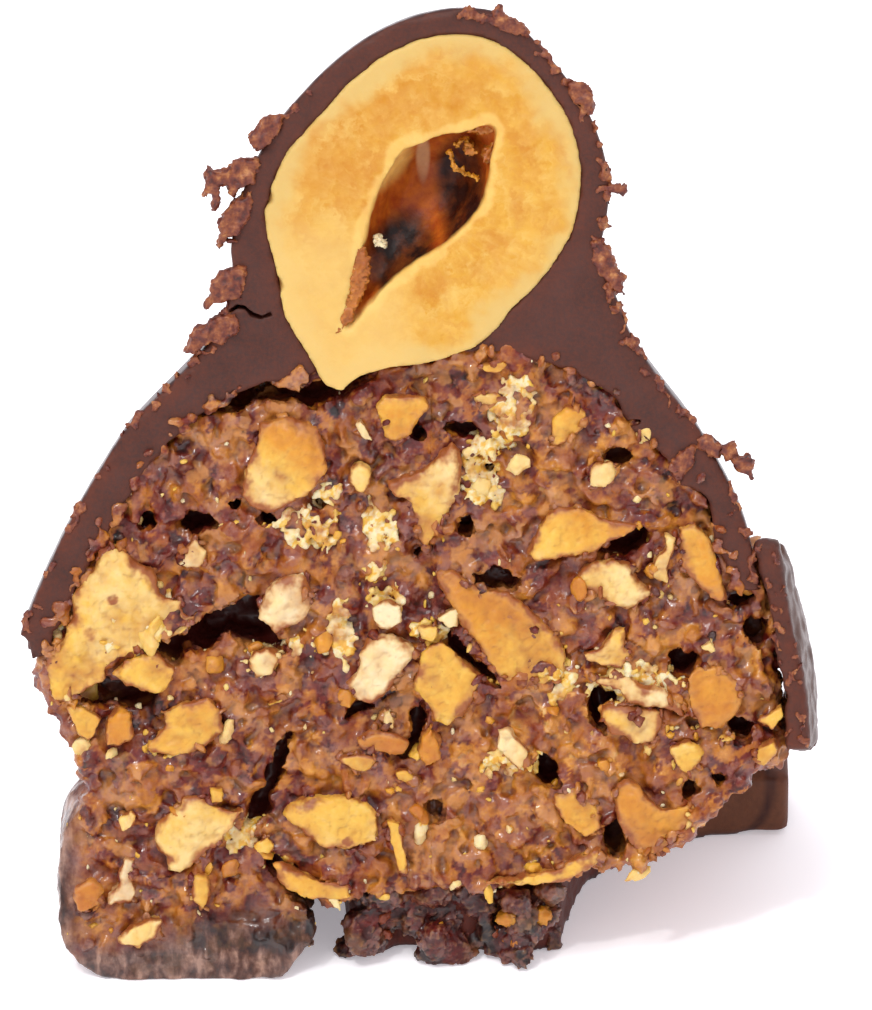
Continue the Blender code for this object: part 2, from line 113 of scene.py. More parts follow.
def clamped(value, low=0.0, high=1.0):
    return max(low, min(high, value))


def between(value, first, last):
    return clamped((value - first) / (last - first))


def pick(*objs):
    # selects these alone, and nothing where none is named
    bpy.ops.object.select_all(action="DESELECT")
    for obj in objs:
        obj.select_set(True)
    if objs:
        bpy.context.view_layer.objects.active = objs[0]


def newBody(name, addPrimitive, **settings):
    pick()
    addPrimitive(**settings)
    body = bpy.context.object
    body.name = name
    return body


def applyPlace(obj):
    pick(obj)
    bpy.ops.object.transform_apply(location=True, rotation=True, scale=True)
    return obj


def placed(obj, matrix):
    obj.matrix_world = matrix
    return applyPlace(obj)


def openMesh(obj):
    pick(obj)
    bpy.ops.object.mode_set(mode="EDIT")
    bpy.ops.mesh.select_all(action="SELECT")


def closeMesh(outwards=True):
    if outwards:
        bpy.ops.mesh.select_all(action="SELECT")
        bpy.ops.mesh.normals_make_consistent(inside=False)
    bpy.ops.object.mode_set(mode="OBJECT")


def drop(*objs):
    for obj in objs:
        bpy.data.objects.remove(obj)


def copyOf(obj, name):
    twin = obj.copy()
    twin.data = obj.data.copy()
    twin.name = name
    bpy.context.scene.collection.objects.link(twin)
    return twin


def joined(name, parts):
    pick(*parts)
    if len(parts) > 1:
        bpy.ops.object.join()
    parts[0].name = name
    return parts[0]


def applied(obj, kind, **settings):
    modifier = obj.modifiers.new(kind.lower(), kind)
    for key, value in settings.items():
        setattr(modifier, key, value)
    pick(obj)
    bpy.ops.object.modifier_apply(modifier=modifier.name)
    return obj


def remeshed(obj, cell, adaptivity=0.0):
    return applied(obj, "REMESH", mode="VOXEL", voxel_size=cell, adaptivity=adaptivity, use_smooth_shade=True)


def softened(obj, rounds):
    return applied(obj, "SMOOTH", factor=0.5, iterations=rounds)


def swollen(obj, grow, group=""):
    return applied(obj, "DISPLACE", strength=grow, mid_level=0.0, vertex_group=group)


def relief(size, height, hard=False, detail=2, sunk=0.5):
    # one layer of roughness: its size and height in mm, and the share of it that goes inwards
    return {"size": size, "height": height, "hard": hard, "detail": detail, "sunk": sunk}


def roughened(obj, *layers, group=""):
    for layer in layers:
        texture = bpy.data.textures.new(obj.name + "Relief", "CLOUDS")
        texture.noise_scale = layer["size"]
        texture.noise_depth = layer["detail"]
        texture.noise_type = "HARD_NOISE" if layer["hard"] else "SOFT_NOISE"
        applied(obj, "DISPLACE", texture=texture, strength=layer["height"], mid_level=layer["sunk"],
                vertex_group=group)
    return obj


def carved(obj, cutter, keep=False):
    applied(obj, "BOOLEAN", operation="DIFFERENCE", object=cutter, solver="MANIFOLD")
    if not keep:
        drop(cutter)
    return obj


def sliced(obj, point, normal):
    # drops what lies on the normal's side of the plane and closes the cut
    openMesh(obj)
    bpy.ops.mesh.bisect(plane_co=point, plane_no=normal, use_fill=True, clear_outer=True)
    closeMesh()
    return obj


def flatFoot(obj):
    # drops what lies under the table
    return sliced(obj, (0, 0, 0), (0, 0, -1))


def largestPart(obj):
    # drops the slivers that cutting leaves behind
    name = obj.name
    openMesh(obj)
    bpy.ops.mesh.separate(type="LOOSE")
    closeMesh(outwards=False)
    *slivers, kept = sorted(bpy.context.selected_objects, key=lambda part: len(part.data.vertices))
    drop(*slivers)
    kept.name = name
    return kept


def noted(obj, name, values):
    # a number for each corner of the mesh, which materials and scattered crumbs read
    if name in obj.data.attributes:
        obj.data.attributes.remove(obj.data.attributes[name])
    obj.data.attributes.new(name, "FLOAT", "POINT").data.foreach_set("value", values)
    return obj


def marked(obj, name, measure):
    return noted(obj, name, [measure(vert.co) for vert in obj.data.vertices])


def weighted(obj, name, measure):
    # a vertex group for the modifiers, weighted by place
    if name in obj.vertex_groups:
        obj.vertex_groups.remove(obj.vertex_groups[name])
    group = obj.vertex_groups.new(name=name)
    for vert in obj.data.vertices:
        group.add([vert.index], measure(vert.co), "REPLACE")
    return name


def creviced(obj, rounds=12, reach=0.1):
    # above 0 in the cracks and below 0 on the crests, read by the finishes
    calm = softened(copyOf(obj, "calm"), rounds)
    noted(obj, "crevice", [clamped((still.co - vert.co).dot(vert.normal) / reach, -1.0)
                           for vert, still in zip(obj.data.vertices, calm.data.vertices)])
    drop(calm)


def awayFrom(other, point):
    return (other.closest_point_on_mesh(point)[1] - point).length


def flowing(rows, steps):
    # more rows on a smooth curve through these
    padded = [rows[0], *rows, rows[-1]]
    curve = []
    for before, start, end, after in zip(padded, padded[1:], padded[2:], padded[3:]):
        for step in range(steps):
            t = step / steps
            curve.append([0.5 * (2 * b + (c - a) * t + (2 * a - 5 * b + 4 * c - d) * t * t
                                 + (3 * b - 3 * c + d - a) * t ** 3)
                          for a, b, c, d in zip(before, start, end, after)])
    return [*curve, rows[-1]]


def raisedRings(name, levels, sides=72, steps=3, deep=1.0):
    # levels hold a height, the reach to the left and the reach to the right
    rings = flowing(levels, steps)
    height, left, right = rings[0]
    body = applyPlace(newBody(name, bpy.ops.mesh.primitive_circle_add, vertices=sides, fill_type="NGON",
                              radius=(left + right) / 2, location=((right - left) / 2, 0, height)))
    openMesh(body)
    for (z0, l0, r0), (z1, l1, r1) in zip(rings, rings[1:]):
        size = (l1 + r1) / (l0 + r0)
        shift = (r1 - l1 - r0 + l0) / 2
        bpy.ops.mesh.extrude_region_move(TRANSFORM_OT_translate={"value": (shift, 0, z1 - z0)})
        bpy.ops.transform.resize(value=(size, size, 1), center_override=((r1 - l1) / 2, 0, z1))
    closeMesh()
    body.scale = (1, deep, 1)
    return applyPlace(body)


def roundedBlock(name, low, high, rounding, segments=4):
    middle = [(a + b) / 2 for a, b in zip(low, high)]
    block = applyPlace(newBody(name, bpy.ops.mesh.primitive_cube_add, size=1, location=middle,
                               scale=[b - a for a, b in zip(low, high)]))
    if rounding:
        openMesh(block)
        bpy.ops.mesh.bevel(offset=rounding, segments=segments, affect="EDGES")
        closeMesh()
    return block


def middleOf(outline):
    return [sum(axis) / len(outline) for axis in zip(*outline)]


def drawnBlock(name, outline, layers, tip=(0.0, 0.0)):
    # an outline drawn out through layers of height and share, with its last face tipped a little
    block = newBody(name, bpy.ops.mesh.primitive_circle_add, vertices=len(outline), fill_type="NGON")
    x, y = middleOf(outline)
    height, share = layers[0]
    for vert, (u, v) in zip(block.data.vertices, outline):
        vert.co = (x + (u - x) * share, y + (v - y) * share, height)
    openMesh(block)
    for (before, wide), (after, wider) in zip(layers, layers[1:]):
        bpy.ops.mesh.extrude_region_move(TRANSFORM_OT_translate={"value": (0, 0, after - before)})
        bpy.ops.transform.resize(value=(wider / wide, wider / wide, 1), center_override=(x, y, after))
    for axis, angle in zip("XY", tip):
        bpy.ops.transform.rotate(value=math.radians(angle), orient_axis=axis,
                                 center_override=(x, y, layers[-1][0]))
    closeMesh()
    return block


def drawnOnFace(name, outline, layers, tip=(0.0, 0.0)):
    # the outline's u and v lie in the knife's plane, and the layers' heights stand out of it
    return placed(drawnBlock(name, outline, layers, tip), faceMatrix)


def nodesOf(tree, family=""):
    # adds nodes to a tree: a value is set on its socket and an output is linked to it
    def add(kind, inputs=(), **settings):
        made = tree.nodes.new(family + kind)
        for key, value in settings.items():
            setattr(made, key, value)
        for key, value in dict(inputs).items():
            give(made.inputs[key], value)
        return made

    return add


def give(socket, value):
    if isinstance(value, bpy.types.NodeSocket):
        socket.id_data.links.new(value, socket)
    else:
        socket.default_value = value


print("stage 1: helpers are ready")

# Shared forms, at the same places as the solids
domeLevels = (
    (0.0, 11.1, 12.4), (0.9, 12.1, 13.1), (3.0, 12.6, 13.4), (6.0, 13.4, 13.4), (9.0, 14.0, 13.3),
    (11.0, 14.0, 12.5), (14.0, 12.8, 11.4), (16.3, 11.6, 10.8), (19.1, 9.8, 9.3), (21.3, 7.9, 7.8),
    (22.9, 6.9, 7.1), (24.4, 6.6, 6.6), (25.8, 6.2, 5.9), (27.3, 5.5, 4.7))
fillingLevels = (
    (2.6, 11.2, 12.2), (4.0, 11.4, 12.5), (6.4, 11.6, 12.7), (8.0, 12.2, 12.7), (9.6, 13.0, 12.4),
    (11.5, 13.0, 11.7), (13.2, 12.2, 11.0), (14.9, 11.3, 10.5), (16.9, 10.0, 9.7), (18.6, 8.8, 8.0),
    (19.8, 7.3, 6.9), (20.7, 5.2, 6.0), (21.4, 2.8, 5.0), (21.9, 0.6, 3.6))
nutLevels = ((-0.2, 0.6, 0.05), (0.5, 1.6, 0.3), (1.4, 2.85, 1.3), (2.0, 3.35, 2.3), (3.0, 4.05, 3.35),
             (3.9, 4.7, 3.8), (5.0, 5.2, 4.15), (6.7, 5.2, 4.65), (8.4, 4.75, 4.8), (10.0, 4.2, 4.35),
             (11.2, 3.6, 3.6), (12.2, 2.75, 2.5), (12.9, 1.75, 1.1), (13.2, 0.9, -0.1))
crownLevels = ((0.8, 4.0, 3.4), (2.5, 5.45, 4.6), (3.7, 5.8, 5.2), (5.0, 6.05, 5.6), (6.4, 6.1, 5.8),
               (8.0, 5.9, 5.95), (9.9, 5.2, 5.45), (11.4, 4.4, 4.5), (12.6, 3.5, 3.2), (13.4, 2.55, 1.8),
               (13.9, 1.65, 0.7), (14.2, 0.7, 0.0))
hollowLevels = (
    (0.4, 0.16, 0.14), (2.0, 0.75, 0.20), (3.2, 1.30, 0.45), (4.3, 1.75, 0.85), (5.3, 2.00, 1.15),
    (6.3, 2.05, 1.30), (7.3, 1.75, 1.10), (8.3, 1.05, 0.60), (9.2, 0.16, 0.14))
nutPlace = {"tip": (-2.6, 21.5), "turn": 24.6}
hollowPlace = {"tip": (-2.8, 23.2), "turn": 35.5, "deep": 1.45}
lumpPlace = {"low": (-12.65, -9.0, -0.2), "high": (-3.85, 0.5, 6.4), "rounding": 2.2}
leftBreak = (
    (-8.0, 2.9), (-8.0, 12.4), (-2.7, 11.4), (-1.2, 11.1), (0.2, 10.3), (1.7, 10.2), (3.0, 8.9), (4.3, 8.5),
    (5.4, 6.9), (6.9, 5.9), (7.8, 4.2), (9.4, 3.2), (7.0, 2.6), (2.0, 3.1), (-2.0, 2.7))
rightBreak = ((-8.0, 2.2), (-8.0, 14.6), (-1.8, 13.7), (0.4, 13.1), (1.6, 11.6), (3.4, 10.9), (4.1, 8.8),
              (4.9, 6.9), (4.6, 4.4), (5.0, 2.2))
baseBreak = (
    (-5.6, -7.5), (-4.8, -4.9), (-4.6, 0.3), (-2.7, 0.5), (-2.4, -3.0), (-1.7, -3.9), (-0.8, -3.0),
    (0.5, -3.2), (1.7, -3.7), (2.5, -2.8), (3.5, -3.5), (4.7, -3.1), (5.1, -1.4), (5.9, 1.3), (7.6, 3.0),
    (9.8, 4.2), (11.4, 4.6), (16.0, 5.2), (16.0, -7.5))
undersides = (((-3.2, 2.9), (7.8, 4.3), (2.5, -2.7, 2.6)), ((7.2, 3.9), (12.9, 8.2), (8.5, 3.5, 2.6)))
formCells = {"filling": 0.28, "lump": 0.25}  # mesh sizes, mm


def nutForm(name, grow=0.0):
    form = placed(raisedRings(name, nutLevels), inFace(nutPlace["tip"], nutPlace["turn"]))
    return swollen(form, grow) if grow else form


fillingForm = softened(remeshed(raisedRings("fillingForm", fillingLevels), formCells["filling"]), 3)
lumpForm = roundedBlock("lumpForm", lumpPlace["low"], lumpPlace["high"], lumpPlace["rounding"], segments=6)
remeshed(lumpForm, formCells["lump"])
print("stage 2: shared forms are ready")

# Crumbs, made once and scattered
kindSettings = {
    "wide": ((1.0, 0.8, 0.7), (1.0, 0.6, 0.5), (0.9, 0.9, 0.5), (1.1, 0.7, 0.8)),
    "angular": 0.2,  # how far the corners stray
    "seed": 3,
    "faces": 0.45,  # share of the faces that stay
}


def crumbShapes():
    # angular crumbs of a few dozen faces, one millimetre across
    shapes = bpy.data.collections.new("crumbKinds")
    bpy.context.scene.collection.children.link(shapes)
    for number, wide in enumerate(kindSettings["wide"]):
        crumb = applyPlace(newBody(f"crumbKind{number}", bpy.ops.mesh.primitive_ico_sphere_add,
                                   subdivisions=2, radius=0.5, scale=wide))
        openMesh(crumb)
        bpy.ops.transform.vertex_random(offset=kindSettings["angular"], seed=number + kindSettings["seed"])
        closeMesh()
        applied(crumb, "DECIMATE", ratio=kindSettings["faces"])
        pick(crumb)
        bpy.ops.object.shade_smooth()
        bpy.context.scene.collection.objects.unlink(crumb)
        shapes.objects.link(crumb)
    return shapes


kinds = crumbShapes()


def scatterNodes(name, places, most, sizes, seed, toast):
    # crumbs on a surface, most per square mm times the number it carries, each with its own toast
    tree = bpy.data.node_groups.new(name, "GeometryNodeTree")
    for way in ("INPUT", "OUTPUT"):
        tree.interface.new_socket("Geometry", in_out=way, socket_type="NodeSocketGeometry")
    add = nodesOf(tree)

    def anyBetween(low, high, step):
        return add("FunctionNodeRandomValue", {"Min": (low,) * 3, "Max": (high,) * 3, "Seed": seed + step},
                   data_type="FLOAT_VECTOR").outputs[0]

    ground = add("NodeGroupInput").outputs[0]
    where = add("GeometryNodeInputNamedAttribute", {"Name": places}, data_type="FLOAT").outputs["Attribute"]
    density = add("ShaderNodeMath", {0: where, 1: most}, operation="MULTIPLY").outputs[0]
    points = add("GeometryNodeDistributePointsOnFaces", {"Mesh": ground, "Density": density, "Seed": seed})
    tone = add("FunctionNodeRandomValue", {2: toast[0], 3: toast[1], "Seed": seed + 5}, data_type="FLOAT")
    points = add("GeometryNodeStoreNamedAttribute",
                 {"Geometry": points.outputs["Points"], "Name": "toast", "Value": tone.outputs[1]},
                 data_type="FLOAT", domain="POINT")
    pool = add("GeometryNodeCollectionInfo",
               {"Collection": kinds, "Separate Children": True, "Reset Children": True})
    crumbs = add("GeometryNodeInstanceOnPoints",
                 {"Points": points.outputs[0], "Instance": pool.outputs[0], "Pick Instance": True,
                  "Rotation": anyBetween(0.0, 6.3, 1), "Scale": anyBetween(*sizes, 2)})
    real = add("GeometryNodeRealizeInstances", {"Geometry": crumbs.outputs[0]})
    add("NodeGroupOutput", {0: real.outputs[0]})
    return tree


def scatteredOn(ground, name, places, most, sizes, seed, toast=(0.0, 1.0)):
    crumbs = copyOf(ground, name)
    return applied(crumbs, "NODES", node_group=scatterNodes(name + "Nodes", places, most, sizes, seed, toast))


def toastLike(obj, pattern, plain, reach=0.2):
    # each corner takes the toast of the crumb it was made from
    source = pattern.data.attributes["toast"].data
    faces = pattern.data.polygons

    def toast(point):
        _, near, _, face = pattern.closest_point_on_mesh(point)
        share = clamped(1.6 - (near - point).length / reach)
        return plain + (source[faces[face].vertices[0]].value - plain) * share

    return marked(obj, "toast", toast)


def clotted(crumbs, cell, layer):
    # crumbs that have run together, with the toast of the single ones
    pattern = copyOf(crumbs, crumbs.name + "Pattern")
    roughened(remeshed(crumbs, cell), layer)
    toastLike(crumbs, pattern, 0.3)
    creviced(crumbs)
    drop(pattern)
    return crumbs


# Chocolate coat
coatSettings = {
    "cell": 0.2, "formCell": 0.26, "gapCell": 0.3, "cornerCell": 0.15, "crackCell": 0.05,  # mesh sizes, mm
    "wrinkle": relief(5.0, 0.2),  # slow unevenness of the outside
    "torn": (relief(1.6, 0.45, detail=3), relief(0.5, 0.18, hard=True)),  # the broken edges
    "bed": (relief(1.3, 0.9, detail=3), relief(0.4, 0.27, hard=True)),  # the edge between coat and paste
    "cut": relief(0.9, 0.06, detail=3),  # the cut face
    "crack": relief(0.25, 0.06),
    "lipOut": 0.4,  # how far the wall spreads at the cut, mm
    "drawnIn": 0.8,  # how far it narrows behind the cut, mm
    "neckShare": 0.25, "bellyShare": 0.6,  # least share of that at the neck and in the belly
    "aroundNut": -0.06,  # how much wider than the nut its hole is, below 0 where they overlap, mm
    "tornCorner": ((-16.0, -6.0, 10.6), (-13.5, -0.5, 12.2), 0.5),  # low, high, rounding
    "cornerRelief": relief(0.6, 0.5),
    "footChip": ((9.2, 4.55, 0.0), (13.05, 7.4, 2.4), 0.3),  # low, high, rounding
}

fades = {  # where each share grows from 0 to 1, mm
    "lip": (2.5, 0.0), "lipFoot": (0.0, 6.0), "lipTop": (22.5, 19.0),
    "behind": (1.0, 3.0), "farBack": (12.0, 8.0), "foot": (0.0, 8.0), "neck": (24.0, 20.0),
    "belly": (20.0, 14.0), "left": (3.0, -5.0), "rightBack": (-0.5, 2.5),
}

coatCracks = {  # depth, outline on the cut face
    "shoulderCrack": (1.4, (
        (-7.9, 20.4), (-7.5, 20.6), (-7.0, 20.65), (-6.4, 20.95), (-5.8, 21.35), (-5.0, 21.5),
        (-4.2, 21.55), (-3.3, 21.5), (-2.7, 21.7), (-2.7, 21.2), (-4.2, 21.0), (-5.3, 20.9), (-6.0, 20.7),
        (-6.6, 20.4), (-7.4, 20.35), (-8.0, 20.0))),
    "neckCrack": (0.8, (
        (-6.66, 24.21), (-6.34, 24.46), (-6.00, 24.39), (-5.72, 24.14), (-5.41, 24.04), (-5.10, 24.18),
        (-5.00, 24.04), (-5.41, 23.86), (-5.79, 23.96), (-6.03, 24.25), (-6.31, 24.29), (-6.59, 24.07))),
    "rightSlit": (0.8, (
        (6.93, 20.18), (7.24, 20.36), (7.66, 20.36), (7.62, 20.18), (7.28, 20.07), (6.97, 20.04))),
    "rightHollow": (0.9, (
        (6.34, 19.07), (6.69, 19.36), (7.17, 19.32), (7.41, 19.00), (7.34, 18.71), (6.97, 18.61),
        (6.48, 18.71))),
    "flapShadow": (0.4, ((8.52, 18.86), (8.93, 18.57), (8.86, 18.04), (8.49, 18.29))),
}


def atTheCut(point):
    return (between(behindFace(point), *fades["lip"]) * between(point.z, *fades["lipFoot"])
            * between(point.z, *fades["lipTop"]))


def behindTheCut(point):
    away = behindFace(point)
    neck, belly = coatSettings["neckShare"], coatSettings["bellyShare"]
    lower = neck + (1 - neck) * between(point.z, *fades["neck"])
    inner = belly + (1 - belly) * between(point.z, *fades["belly"]) * between(point.x, *fades["left"])
    right = between(point.y, *fades["rightBack"]) if point.x > 6 and point.z < 14.5 else 1.0
    return (between(away, *fades["behind"]) * between(away, *fades["farBack"])
            * between(point.z, *fades["foot"]) * lower * inner * right)


def drawnIn(obj, most):
    # behind the cut the piece narrows, so that its outside stays out of sight from the front
    return swollen(obj, -most, weighted(obj, "behind", behindTheCut))


crown = placed(raisedRings("crown", crownLevels), inFace(nutPlace["tip"], nutPlace["turn"]))
outerForm = joined("outerForm", [raisedRings("outerForm", domeLevels, sides=96), crown])
softened(remeshed(outerForm, coatSettings["formCell"]), 3)
roughened(outerForm, coatSettings["wrinkle"])
swollen(outerForm, coatSettings["lipOut"], weighted(outerForm, "atTheCut", atTheCut))
drawnIn(outerForm, coatSettings["drawnIn"])
fillingSpace = drawnIn(swollen(copyOf(fillingForm, "fillingSpace"), 0.1), coatSettings["drawnIn"])
roughened(fillingSpace, *coatSettings["bed"])

# an outline in y and z, drawn along x
sideTurn = Matrix(((0, 0, 1, 0), (1, 0, 0, 0), (0, 1, 0, 0), (0, 0, 0, 1)))
gaps = {  # outline, its turn, and from where to where it is drawn through the wall
    "leftGap": (leftBreak, sideTurn, -20, -8), "rightGap": (rightBreak, sideTurn, 9, 20),
    "frontGap": (baseBreak, Matrix.Identity(4), -1.0, 3.2),
}
coat = sliced(copyOf(outerForm, "chocolateCoat"), onFace(0, 0), faceOut)
carved(coat, fillingSpace)
for name, (outline, turn, low, high) in gaps.items():
    gap = placed(drawnBlock(name, outline, ((low, 1.0), (high, 1.0))), turn)
    remeshed(gap, coatSettings["gapCell"])
    carved(coat, roughened(gap, *coatSettings["torn"]))
corner = remeshed(roundedBlock("tornCorner", *coatSettings["tornCorner"]), coatSettings["cornerCell"])
carved(coat, roughened(corner, coatSettings["cornerRelief"]))
carved(coat, copyOf(lumpForm, "lumpSpace"))
carved(coat, nutForm("nutSpace", coatSettings["aroundNut"]))
coat = joined("chocolateCoat", [coat, roundedBlock("footChip", *coatSettings["footChip"])])
coat = largestPart(remeshed(coat, coatSettings["cell"]))
roughened(coat, coatSettings["cut"], group=weighted(coat, "cutSide", lambda p: float(behindFace(p) < 0.12)))
for name, (deep, outline) in coatCracks.items():
    crack = drawnOnFace(name, outline, ((-deep, 0.5), (0.1, 1.0), (0.6, 1.1)))
    carved(coat, roughened(remeshed(crack, coatSettings["crackCell"]), coatSettings["crack"]))
nutOuter = nutForm("nutOuter")


def fringeOf(point):
    # 1 along the outer edge at the upper right, where the knife left the most crumbs
    if behindFace(point) >= 0.2 or awayFrom(outerForm, point) >= 0.15:
        return 0.0
    return 1.0 if point.x > 1.5 and point.z > 21 else 0.1 if point.z > 25 else 0.35


marked(coat, "skin", lambda p: between(awayFrom(outerForm, p), 0.25, 0.0) * (behindFace(p) > 0.18))
marked(coat, "rim", lambda p: min(awayFrom(form, p) for form in (outerForm, fillingForm, nutOuter))
       if behindFace(p) < 0.3 else 9.0)
marked(coat, "fringe", fringeOf)
marked(coat, "border", lambda p: between(awayFrom(fillingForm, p), 0.5, 0.1) * (behindFace(p) < 0.15)
       * (0.25 if p.x > -2.5 and p.z > 16 else 1.0))
print("stage 3: coat", len(coat.data.polygons))

# Paste with its holes
pasteSettings = {
    "depth": 3.2,  # thickness of the finely made front, mm
    "sunk": 0.3,  # how far the paste lies behind the knife's plane
    "cell": 0.1, "formCell": 0.2, "frontCell": 0.18, "coreCell": 0.24, "wedgeCell": 0.3, "holeCell": 0.14,
    "aroundNut": 0.02,  # how much wider than the nut its hole is, mm
    "underside": relief(1.8, 0.7, detail=3),
    "crags": (relief(2.2, 1.1, detail=3, sunk=0.6), relief(0.8, 0.6, detail=3, sunk=0.55)),
    "grit": relief(0.24, 0.09, hard=True, detail=1),
    "holes": (relief(0.7, 0.35, detail=3), relief(0.25, 0.12, hard=True)),
    "holesAgain": (relief(0.5, 0.4), relief(0.2, 0.2, hard=True)),  # over the morsels
    "morsels": (5.0, (0.3, 1.1), 13),  # per square mm, smallest and largest, seed
    "core": (relief(2.0, 0.5, detail=3, sunk=0.8), relief(0.7, 0.4, sunk=0.7),
             relief(0.3, 0.16, hard=True, sunk=0.8)),
}

plateBed = ((11.1, 15.8), (11.8, 15.6), (12.2, 13.9), (12.45, 11.8), (12.5, 8.9), (11.9, 8.5), (11.4, 10.4),
            (11.2, 12.5), (10.9, 13.9))  # paste that still clings behind the cracked plate

